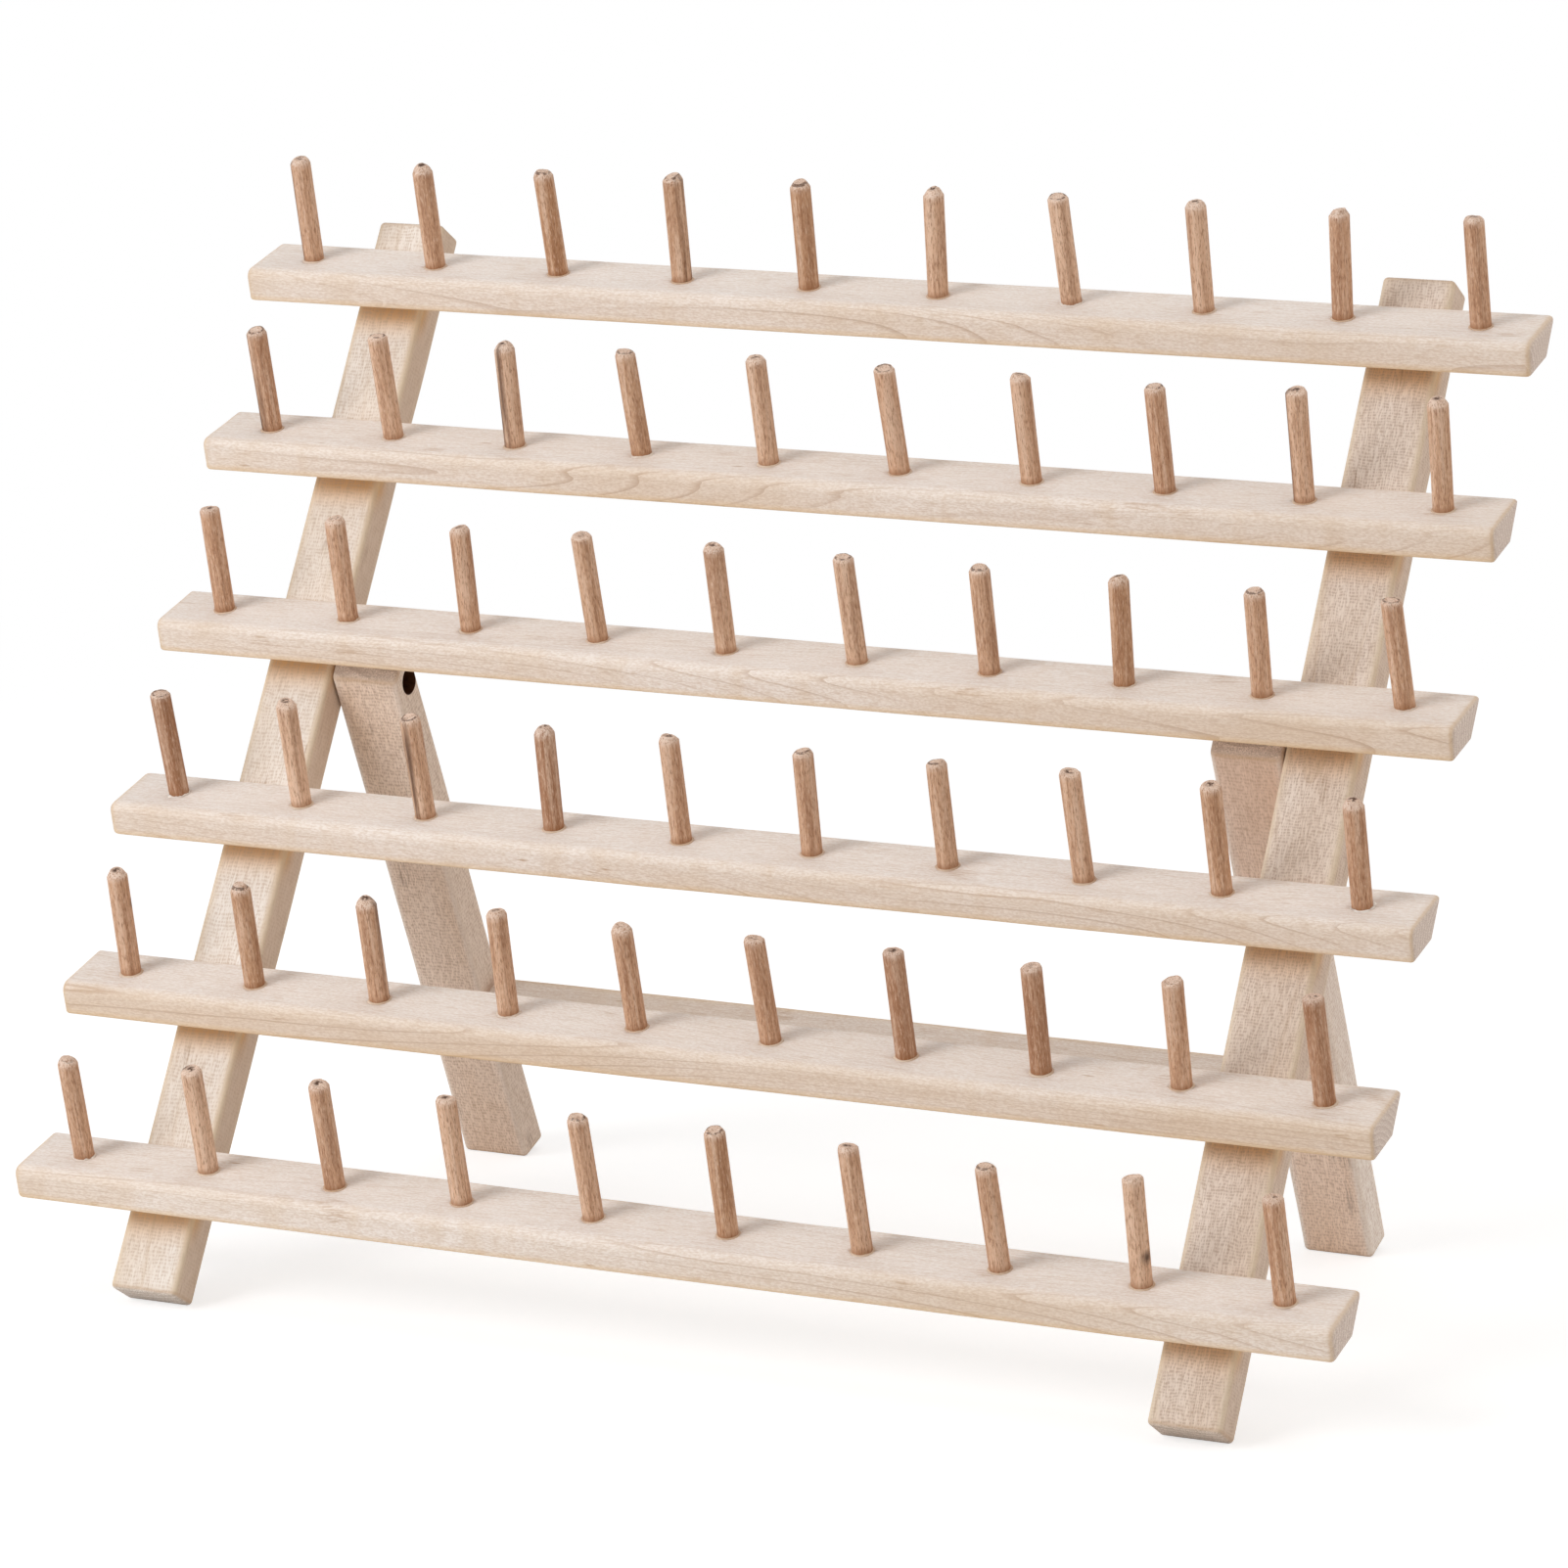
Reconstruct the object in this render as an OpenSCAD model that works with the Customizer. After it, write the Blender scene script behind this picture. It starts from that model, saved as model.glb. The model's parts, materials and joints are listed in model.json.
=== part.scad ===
// Folding wooden thread spool rack: six pegged rails on two leaning front legs,
// held up by a folding back stand that swings on two recessed screws.
// Millimetres. +X along the rails, +Y to the back, +Z up, standing on Z = 0.

/* [Pegs] */
// Pegs on each rail
peg_count = 10; // [4:1:12]
// Spacing of the pegs along a rail
peg_pitch = 41; // [30:0.5:60]
// Diameter of a peg
peg_d = 6; // [4.5:0.1:7]
// Length of a peg above the rail
peg_out = 32.4; // [20:0.1:50]
// Depth of a peg in the rail
peg_in = 6.5; // [4:0.1:8]
// Distance of the pegs from the rail's back top edge
peg_set = 12.2; // [10:0.1:16]
// Height of the chamfer on a peg's tip
peg_chamfer = 1.4; // [0.3:0.1:1.8]
// Amount by which a peg's end is thinned to stand in its hole
peg_neck = 0.6; // [0.4:0.1:1]
// Gap round a peg's thinned end in its hole
peg_fit = 0.05; // [0.02:0.01:0.1]

/* [Rails] */
// Distance from the last peg to the rail's end
rail_end = 18.1; // [10:0.1:30]
// Width of a rail's top face, to the sharp back edge
rail_w = 23.8; // [21:0.1:30]
// Thickness of a rail, along the pegs
rail_t = 9.8; // [8.5:0.1:12]
// Angle between the pegs and the legs, ripped on the rail's back edge
rail_bevel = 45; // [38:0.5:48]
// Spacing of the rails along the legs
rail_pitch = 56.8; // [45:0.1:70]
// Height of the lowest rail's back top edge along the leg
rail_first_h = 43.7; // [38:0.1:60]
// Roundover of a rail's top front edge
rail_round = 3; // [1.5:0.1:4]
// Easing of a rail's other long edges
rail_ease = 0.7; // [0.3:0.1:1.2]
// Easing of the edges round a rail's ends
rail_end_ease = 1.2; // [0.5:0.1:2]
// Share of the unevenness with which the rails were set by hand
row_wander = 1; // [0:0.1:1]

/* [Front legs] */
// Height of a front leg's top end above the top rail's back edge
leg_top = 8.3; // [2:0.1:40]
// Width of a front leg, seen from the front
leg_w = 21.5; // [16:0.1:28]
// Thickness of a front leg
leg_t = 12; // [11:0.1:16]
// Distance from a rail's end to the leg's outer face
leg_inset = 31.5; // [15:0.5:40]
// Easing of the edges of the legs and the crossbar
leg_ease = 1.5; // [0.5:0.1:2]

/* [Back stand] */
// Angle between the front and back legs when the stand is open
open_angle = 57; // [50:0.5:62]
// Distance from the pivot down to a back leg's foot
back_reach = 177.4; // [150:0.1:190]
// Width of a back leg
back_w = 21.5; // [16:0.1:26]
// Thickness of a back leg
back_t = 12; // [11.8:0.1:16]
// Angle by which a back leg's foot is cut off square, with the heel longer
foot_cut = 6; // [0:0.5:12]
// Gap between a front leg and the back leg beside it
side_gap = 0.5; // [0.4:0.1:2]
// Gap between the folded back legs and the rails
fold_gap = 0.6; // [0.4:0.1:2]
// Gap between the bevelled top of a back leg and the rail it stops against
stop_gap = 0.1; // [0:0.05:0.2]
// Height of the crossbar's lower edge above the foot, along the back leg
bar_up = 42.5; // [20:0.5:80]
// Height of the crossbar
bar_h = 20; // [12:0.5:26]
// Thickness of the crossbar
bar_t = 12; // [8:0.1:16]

/* [Pivot screws] */
// Distance from the stop rail's lower back edge down to the pivot
pivot_drop = 6.5; // [5:0.1:7]
// Distance from the back leg's front face to the pivot
pivot_set = 7.2; // [6.5:0.1:7.4]
// Diameter of the pivot screw's shank
pivot_d = 4; // [3:0.1:5]
// Running gap round the shank in the back leg
pivot_fit = 0.05; // [0.02:0.01:0.1]
// Diameter of the pivot screw's head
pivot_head_d = 7.2; // [6.5:0.1:7.6]
// Height of the pivot screw's head
pivot_head_h = 2.6; // [2:0.1:3.5]
// Diameter of the counterbore that hides the head
pivot_bore_d = 8.4; // [8.2:0.1:9]
// Depth of the counterbore
pivot_bore = 7; // [4.5:0.1:10]
// Gap between the head and the counterbore's floor
pivot_play = 0.3; // [0.2:0.1:0.6]
// Length of the pivot screw in the front leg
pivot_bite = 13; // [8:0.5:15]

/* [Wood screws] */
// Diameter of a wood screw's shank
screw_d = 3.5; // [2.5:0.1:4]
// Diameter of a wood screw's countersunk head
screw_head_d = 7; // [5:0.1:8]
// Length of a screw's point
screw_point = 3; // [1.5:0.1:4]
// Gap round a screw in its hole
screw_fit = 0.05; // [0.02:0.01:0.1]
// Length of a rail screw in the rail
rail_bite = 6.5; // [4:0.1:7]
// Height of a rail screw above the rail's lower back edge
rail_screw_rise = 4; // [3.6:0.1:5]
// Length of a crossbar screw in the crossbar
bar_bite = 20; // [10:0.5:40]

/* [Hidden] */
$fn = 48;
rail_count = 6;
stop_rail = 3;
left = -1;
right = 1;
over = 1;

// Lengths along the rails
rail_len = (peg_count - 1) * peg_pitch + 2 * rail_end;
function peg_x(i) = (i - (peg_count - 1) / 2) * peg_pitch;
leg_outer = rail_len / 2 - leg_inset;
leg_inner = leg_outer - leg_w;
back_outer = leg_inner - side_gap;
back_inner = back_outer - back_w;

// Heights along the front leg. Rail 1 is the top one, and each sits a little off its mark
wander = row_wander * [-0.4, 1.2, -0.1, -1.2, -0.2, 0.5];
function rail_up(row) = rail_first_h + (rail_count - row) * rail_pitch + wander[row - 1];
leg_len = rail_first_h + (rail_count - 1) * rail_pitch + leg_top;
rail_back_h = rail_t / cos(rail_bevel);
function rail_screw_up(row) = rail_up(row) - rail_back_h + rail_screw_rise;
pivot_up = rail_up(stop_rail) - rail_back_h - pivot_drop;
pivot_back = pivot_set + fold_gap;

// The back leg's top is cut so that it lies along the stop rail's back when the stand is open
back_face = back_t - pivot_set;
function stop_cut(y) = (pivot_back - stop_gap + y * cos(open_angle)) / sin(open_angle);

// The back leg's foot drops from its front edge to its back edge
function foot_end(y) = -back_reach - (y + pivot_set) * tan(foot_cut);
function foot_round(y) = [y, foot_end(y) + leg_ease / cos(foot_cut)];

// Turns a point [y, z] of the side view about X
function turned(p, a) = [p[0] * cos(a) - p[1] * sin(a), p[0] * sin(a) + p[1] * cos(a)];

// The floor touches the eased back edge of the front feet and the eased front edge of the back feet
front_foot = [leg_t - leg_ease, leg_ease];
back_foot = [pivot_back, pivot_up] + turned(foot_round(leg_ease - pivot_set), open_angle);
lean = atan2(back_foot[1] - front_foot[1], back_foot[0] - front_foot[0]);
floor_drop = turned(front_foot, -lean)[1] - leg_ease;

// Front and back of the standing rack, so that it stands centred on the origin
function rail_point(row, p) = [0, rail_up(row)] + turned(p, rail_bevel);
function depth_of(p) = turned(p, -lean)[0];
front_most = min(depth_of([leg_ease, leg_ease]) - leg_ease,
                 depth_of(rail_point(rail_count, [rail_round - rail_w, -rail_round])) - rail_round,
                 depth_of(rail_point(rail_count, [rail_ease - rail_w, rail_ease - rail_t])) - rail_ease,
                 depth_of(rail_point(rail_count, [-peg_set - peg_d / 2, peg_out - peg_chamfer])));
back_most = max(depth_of([leg_t - leg_ease, leg_len - leg_ease]) + leg_ease,
                depth_of([pivot_back, pivot_up]
                         + turned(foot_round(back_face - leg_ease), open_angle)) + leg_ease);

// Side views [y, z], with the radius of each corner
rail_side = [[0, 0], [-rail_w, 0], [-rail_w, -rail_t], [-rail_t * tan(rail_bevel), -rail_t]];
rail_side_r = [rail_ease, rail_round, rail_ease, rail_ease];
front_leg_side = [[0, 0], [leg_t, 0], [leg_t, leg_len], [0, leg_len]];
back_leg_side = [[-pivot_set, -back_reach], [back_face, foot_end(back_face)],
                 [back_face, stop_cut(back_face)], [-pivot_set, stop_cut(-pivot_set)]];
leg_side_r = [leg_ease, leg_ease, leg_ease, leg_ease];

// Placing

// Stands the frame on the floor at its lean
module standing() {
  translate([0, -(front_most + back_most) / 2, -floor_drop])
    rotate([-lean, 0, 0]) children();
}

// A rail's own frame: origin on its back top edge, +Z along the pegs
module on_rail(row) {
  standing() translate([0, 0, rail_up(row)]) rotate([rail_bevel, 0, 0]) children();
}

// The open back stand's own frame: origin on the pivot, +Z up the back legs
module on_stand() {
  standing() translate([0, pivot_back, pivot_up]) rotate([open_angle, 0, 0]) children();
}

// Draws the right-hand piece, or its mirror image for the left
module on_side(side) {
  mirror([side == left ? 1 : 0, 0, 0]) children();
}

// Shapes shared by several pieces

function unit(v) = v / norm(v);

// A convex outline with rounded corners: straight sides between the tangent points, and a disc in each corner
module rounded(points, radii) {
  n = len(points);
  before = [for (i = [0:n - 1]) unit(points[(i + n - 1) % n] - points[i])];
  after = [for (i = [0:n - 1]) unit(points[(i + 1) % n] - points[i])];
  half = [for (i = [0:n - 1]) acos(before[i] * after[i]) / 2];
  tangents = [for (i = [0:n - 1], way = [before[i], after[i]]) points[i] + way * radii[i] / tan(half[i])];
  polygon(tangents);
  for (i = [0:n - 1])
    translate(points[i] + unit(before[i] + after[i]) * radii[i] / sin(half[i])) circle(r = radii[i]);
}

// A bar from x1 to x2 with the side view given, its ends eased as seen from the front and from above
module bar(side_view, side_r, x1, x2, ease) {
  ys = [for (p = side_view) p[0]];
  zs = [for (p = side_view) p[1]];
  end_r = [ease, ease, ease, ease];
  intersection() {
    translate([x1, 0, 0]) rotate([90, 0, 90]) linear_extrude(x2 - x1) rounded(side_view, side_r);
    translate([0, 0, min(zs)]) linear_extrude(max(zs) - min(zs))
      rounded([[x1, min(ys)], [x2, min(ys)], [x2, max(ys)], [x1, max(ys)]], end_r);
    translate([0, max(ys), 0]) rotate([90, 0, 0]) linear_extrude(max(ys) - min(ys))
      rounded([[x1, min(zs)], [x2, min(zs)], [x2, max(zs)], [x1, max(zs)]], end_r);
  }
}

// A countersunk screw along -Z with its head's flat at Z = 0, or the hole for it
module wood_screw(length, fit = 0, above = 0) {
  head_r = screw_head_d / 2 + fit;
  shank_r = screw_d / 2 + fit;
  cone = (screw_head_d - screw_d) / 2;
  rotate_extrude()
    polygon([[0, above], [head_r, above], [head_r, 0], [shank_r, -cone],
             [shank_r, screw_point - length], [0, -length - fit]]);
}

// Rail screws, from the back of the leg into the rail
module rail_screw_row(fit = 0, above = 0) {
  for (row = [1:rail_count])
    translate([leg_outer - leg_w / 2, leg_t, rail_screw_up(row)])
      rotate([-90, 0, 0]) wood_screw(leg_t + rail_bite, fit, above);
}

// Crossbar screw, from the outside of the back leg into the crossbar's end
module bar_screw(fit = 0, above = 0) {
  translate([back_outer, bar_t / 2 - pivot_set, bar_up + bar_h / 2 - back_reach])
    rotate([0, 90, 0]) wood_screw(back_w + bar_bite, fit, above);
}

// Pieces

module front_leg(side) {
  color("burlywood")
    standing() on_side(side) difference() {
      bar(front_leg_side, leg_side_r, leg_inner, leg_outer, leg_ease);
      rail_screw_row(screw_fit, over);
      translate([leg_inner - over, pivot_back, pivot_up])
        rotate([0, 90, 0]) cylinder(d = pivot_d + 2 * screw_fit, h = pivot_bite + screw_fit + over);
    }
}

module rail(row) {
  color("bisque")
    difference() {
      on_rail(row) difference() {
        bar(rail_side, rail_side_r, -rail_len / 2, rail_len / 2, rail_end_ease);
        for (i = [0:peg_count - 1])
          translate([peg_x(i), -peg_set, -peg_in]) cylinder(d = peg_d - peg_neck, h = peg_in + over);
      }
      for (side = [left, right])
        standing() on_side(side) rail_screw_row(screw_fit, over);
    }
}

module rail_pegs(row) {
  color("peru")
    on_rail(row)
      for (i = [0:peg_count - 1])
        translate([peg_x(i), -peg_set, 0]) {
          translate([0, 0, -peg_in]) cylinder(d = peg_d - peg_neck - 2 * peg_fit, h = peg_in);
          cylinder(d = peg_d, h = peg_out - peg_chamfer);
          translate([0, 0, peg_out - peg_chamfer])
            cylinder(d1 = peg_d, d2 = peg_d - 2 * peg_chamfer, h = peg_chamfer);
        }
}

module rail_screws(side) {
  color("silver") standing() on_side(side) rail_screw_row();
}

module pivot_screw(side) {
  head_seat = back_inner + pivot_bore - pivot_play;
  shank = leg_inner + pivot_bite - head_seat;
  color("dimgray")
    standing() on_side(side) translate([head_seat, pivot_back, pivot_up]) rotate([0, -90, 0])
      rotate_extrude()
        polygon([[0, pivot_head_h], [pivot_head_d / 2 - pivot_head_h / 2, pivot_head_h],
                 [pivot_head_d / 2, pivot_head_h / 2], [pivot_head_d / 2, 0], [pivot_d / 2, 0],
                 [pivot_d / 2, screw_point - shank], [0, -shank]]);
}

module back_leg(side) {
  color("tan")
    on_stand() on_side(side) difference() {
      bar(back_leg_side, leg_side_r, back_inner, back_outer, leg_ease);
      translate([back_inner - over, 0, 0]) rotate([0, 90, 0]) {
        cylinder(d = pivot_bore_d, h = pivot_bore + over);
        cylinder(d = pivot_d + 2 * pivot_fit, h = back_w + 2 * over);
      }
      bar_screw(screw_fit, over);
    }
}

module crossbar() {
  low = bar_up - back_reach;
  side_view = [[-pivot_set, low], [bar_t - pivot_set, low],
               [bar_t - pivot_set, low + bar_h], [-pivot_set, low + bar_h]];
  color("tan")
    on_stand() difference() {
      translate([-back_inner, 0, 0]) rotate([90, 0, 90])
        linear_extrude(2 * back_inner) rounded(side_view, leg_side_r);
      for (side = [left, right]) on_side(side) bar_screw(screw_fit, over);
    }
}

module crossbar_screw(side) {
  color("silver") on_stand() on_side(side) bar_screw();
}

front_leg(left);  // front_leg_left
front_leg(right);  // front_leg_right
rail(1);  // rail_1
rail(2);  // rail_2
rail(3);  // rail_3
rail(4);  // rail_4
rail(5);  // rail_5
rail(6);  // rail_6
rail_pegs(1);  // pegs_rail_1
rail_pegs(2);  // pegs_rail_2
rail_pegs(3);  // pegs_rail_3
rail_pegs(4);  // pegs_rail_4
rail_pegs(5);  // pegs_rail_5
rail_pegs(6);  // pegs_rail_6
rail_screws(left);  // rail_screws_left
rail_screws(right);  // rail_screws_right
pivot_screw(left);  // pivot_screw_left
pivot_screw(right);  // pivot_screw_right
back_leg(left);  // back_leg_left
back_leg(right);  // back_leg_right
crossbar();
crossbar_screw(left);  // crossbar_screw_left
crossbar_screw(right);  // crossbar_screw_right
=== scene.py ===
import json
import math
import random
from functools import partial

import bpy
from mathutils import Matrix, Vector, noise


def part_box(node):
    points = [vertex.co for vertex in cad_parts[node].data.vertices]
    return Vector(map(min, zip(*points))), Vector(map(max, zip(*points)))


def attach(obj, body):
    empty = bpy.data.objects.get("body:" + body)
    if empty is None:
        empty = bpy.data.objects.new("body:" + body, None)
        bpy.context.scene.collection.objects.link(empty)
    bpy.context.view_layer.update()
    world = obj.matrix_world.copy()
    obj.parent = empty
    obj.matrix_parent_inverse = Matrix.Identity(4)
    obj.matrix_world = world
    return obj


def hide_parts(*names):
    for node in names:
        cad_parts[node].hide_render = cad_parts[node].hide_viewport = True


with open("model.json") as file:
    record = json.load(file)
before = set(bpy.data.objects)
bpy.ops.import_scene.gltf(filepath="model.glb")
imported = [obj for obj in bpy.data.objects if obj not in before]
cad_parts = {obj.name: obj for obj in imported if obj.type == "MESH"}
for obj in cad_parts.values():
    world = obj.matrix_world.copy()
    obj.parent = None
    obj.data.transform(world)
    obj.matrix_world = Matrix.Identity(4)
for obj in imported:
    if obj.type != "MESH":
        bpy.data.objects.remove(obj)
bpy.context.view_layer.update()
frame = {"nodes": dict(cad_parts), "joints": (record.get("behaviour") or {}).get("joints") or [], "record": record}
print("frame loaded,", len(frame["nodes"]), "solids to dress")

scene = bpy.context.scene
scene.view_settings.view_transform = "Standard"
mm = 0.001

# How the rack stands, in millimetres and degrees; the solids' joint, boxes and last peg give the rest
rack = {
    "railBevel": 45,         # pegs against front legs
    "legThick": 12,
    "legEase": 1.5,
    "pivotBehind": 7.8,      # behind the front legs' faces
    "pegSetIn": 12.2,        # from the rails' back edges
}
rows = range(1, 7)           # rail 1 is the top one
sides = {"Left": -1, "Right": 1}
fold = frame["joints"][0]
lastPeg = next(mount for mount in frame["record"]["mounts"] if mount["name"] == "peg_bottom_right")
pegFoot = Vector(lastPeg["pos_m"]) / mm - Vector(lastPeg["axis"]) * lastPeg["dims"]["length_mm"] / 2
pegLean = math.atan2(-lastPeg["axis"][1], lastPeg["axis"][2])
legLean = math.radians(rack["railBevel"]) - pegLean
openTurn = math.radians(fold["range_deg"][1])
pivotSpot = Vector(fold["pos_m"]) / mm

# the front legs stand on their eased back corners, which puts the pivot this far up them
footRise = (rack["legThick"] - rack["legEase"]) * math.sin(legLean)
footRise += rack["legEase"] * (1 - math.cos(legLean))
pivotUp = (pivotSpot.z - footRise + rack["pivotBehind"] * math.sin(legLean)) / math.cos(legLean)
standing = (Matrix.Translation(pivotSpot) @ Matrix.Rotation(-legLean, 4, "X")
            @ Matrix.Translation((0, -rack["pivotBehind"], -pivotUp)))
standFrame = Matrix.Translation(pivotSpot) @ Matrix.Rotation(openTurn - legLean, 4, "X")

# rails are alike, so their boxes give the steps up from the lowest one
railFrames = {}
railUps = {}
for row in rows:
    step = (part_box("rail_%d" % row)[0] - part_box("rail_%d" % rows[-1])[0]) / mm
    railFrames[row] = (Matrix.Translation((0, pegFoot.y + step.y, pegFoot.z + step.z))
                       @ Matrix.Rotation(pegLean, 4, "X") @ Matrix.Translation((0, rack["pegSetIn"], 0)))
    railUps[row] = (standing.inverted() @ railFrames[row].translation).z


def reachAcross(node):
    return [corner.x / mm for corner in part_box(node)]


def clamp(value):
    return min(1.0, max(0.0, value))


def linear(hexText):
    parts = [int(hexText[i:i + 2], 16) / 255 for i in (1, 3, 5)]
    return [p / 12.92 if p <= 0.04045 else ((p + 0.055) / 1.055) ** 2.4 for p in parts] + [1]


def addNode(tree, kind, inputs=(), **settings):
    # inputs are named in a dictionary, or stand in the order of the node's sockets
    node = tree.nodes.new(kind)
    for key, value in settings.items():
        setattr(node, key, value)
    for key, value in inputs.items() if isinstance(inputs, dict) else enumerate(inputs):
        if isinstance(value, bpy.types.Node):
            value = next(out for out in value.outputs if out.enabled)
        if isinstance(value, bpy.types.NodeSocket):
            tree.links.new(value, node.inputs[key])
        else:
            node.inputs[key].default_value = value
    return node


def newMaterial(name):
    material = bpy.data.materials.new(name)
    material.use_nodes = True
    material.node_tree.nodes.clear()
    return material, partial(addNode, material.node_tree)


def shareOf(add, *parts):
    # how much of a layer shows: its parts multiplied, a tuple being a pattern and the range that counts
    shares = [add("ShaderNodeMapRange", part) if isinstance(part, tuple) else part for part in parts]
    share = shares[0]
    for other in shares[1:]:
        share = add("ShaderNodeMath", (share, other), operation="MULTIPLY")
    return share


def layered(add, under, *layers):
    # tones laid over one another, each as far as its share says
    for share, over in layers:
        under, over = (linear(tone) if isinstance(tone, str) else tone for tone in (under, over))
        under = add("ShaderNodeMix", {0: share, 6: under, 7: over}, data_type="RGBA")
    return under


def surfaced(add, colour, height, bumpStrength, bumpMm, finish):
    bump = add("ShaderNodeBump", {"Strength": bumpStrength, "Distance": bumpMm * mm, "Height": height})
    shader = add("ShaderNodeBsdfPrincipled", {"Base Color": colour, "Normal": bump, **finish})
    add("ShaderNodeOutputMaterial", {"Surface": shader})


# Bare birch is pale and matt: thin brown ring lines that arch along a flat-sawn face, soft curl across it,
# grit of cut pores, brown pith flecks, and darker, greyer end grain with rubbed edges.
railLook = {
    "pale": "#f3e7dd", "tan": "#e5d0bb", "quietFaceShading": "#f4ece6", "line": "#a87e5a", "grit": "#c4a282",
    "fleck": "#b2875d", "edge": "#e3bd86", "shadeAndStain": "#b98a58", "endGrain": "#b39a90", "arris": "#d2b189",
    "ringMm": 1.8, "lineMost": 0.47, "poreMost": 0.34, "gritMm": 0.42, "gritAlong": 0.36, "gritMost": 0.3,
    "sawMm": 1.2, "sawMost": 0.0, "curlMost": 0.5, "edgeMost": 0.55, "shadeAndStainMost": 0.9, "mottleMm": 26,
    "fleckFrom": 0.57, "roughness": 0.62, "bumpMm": 0.05,
}
frontLegLook = {
    "pale": "#f5ece3", "tan": "#ecdccc", "quietFaceShading": "#dac1ac", "line": "#c6a680", "grit": "#c2a58a",
    "fleck": "#9a7452", "edge": "#ecdabc", "shadeAndStain": "#d8a566", "endGrain": "#a08772", "arris": "#c6a788",
    "ringMm": 2.4, "lineMost": 0.3, "poreMost": 0.4, "gritMm": 0.5, "gritAlong": 0.2, "gritMost": 0.5,
    "sawMm": 1.15, "sawMost": 0.7, "curlMost": 0.2, "edgeMost": 0.55, "shadeAndStainMost": 0.9, "mottleMm": 18,
    "fleckFrom": 0.57, "roughness": 0.74, "bumpMm": 0.08,
}
backLegLook = {
    "pale": "#f6e2d1", "tan": "#ebd0b8", "quietFaceShading": "#f4e5d8", "line": "#c2a188", "grit": "#a98469",
    "fleck": "#6f5240", "edge": "#f0dfcf", "shadeAndStain": "#a8795a", "endGrain": "#a58a74", "arris": "#c8a682",
    "ringMm": 2.8, "lineMost": 0.2, "poreMost": 0.36, "gritMm": 0.46, "gritAlong": 0.3, "gritMost": 0.56,
    "sawMm": 1.2, "sawMost": 0.6, "curlMost": 0.2, "edgeMost": 0.5, "shadeAndStainMost": 0.9, "mottleMm": 20,
    "fleckFrom": 0.48, "roughness": 0.74, "bumpMm": 0.07,
}
# widths of the patterns that all birch boards share
birch = {"lineFadeMm": 14, "poreMm": 0.45, "curlMm": 22, "fleckGapMm": 5.5, "fleckPatchMm": 9, "smudgeMm": 7,
         "endDotMm": 0.4}
bareWood = {"IOR": 1.5, "Specular IOR Level": 0.35}
waveTurn = 2 * math.pi / 20      # a wave texture's scale for one band a metre


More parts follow.
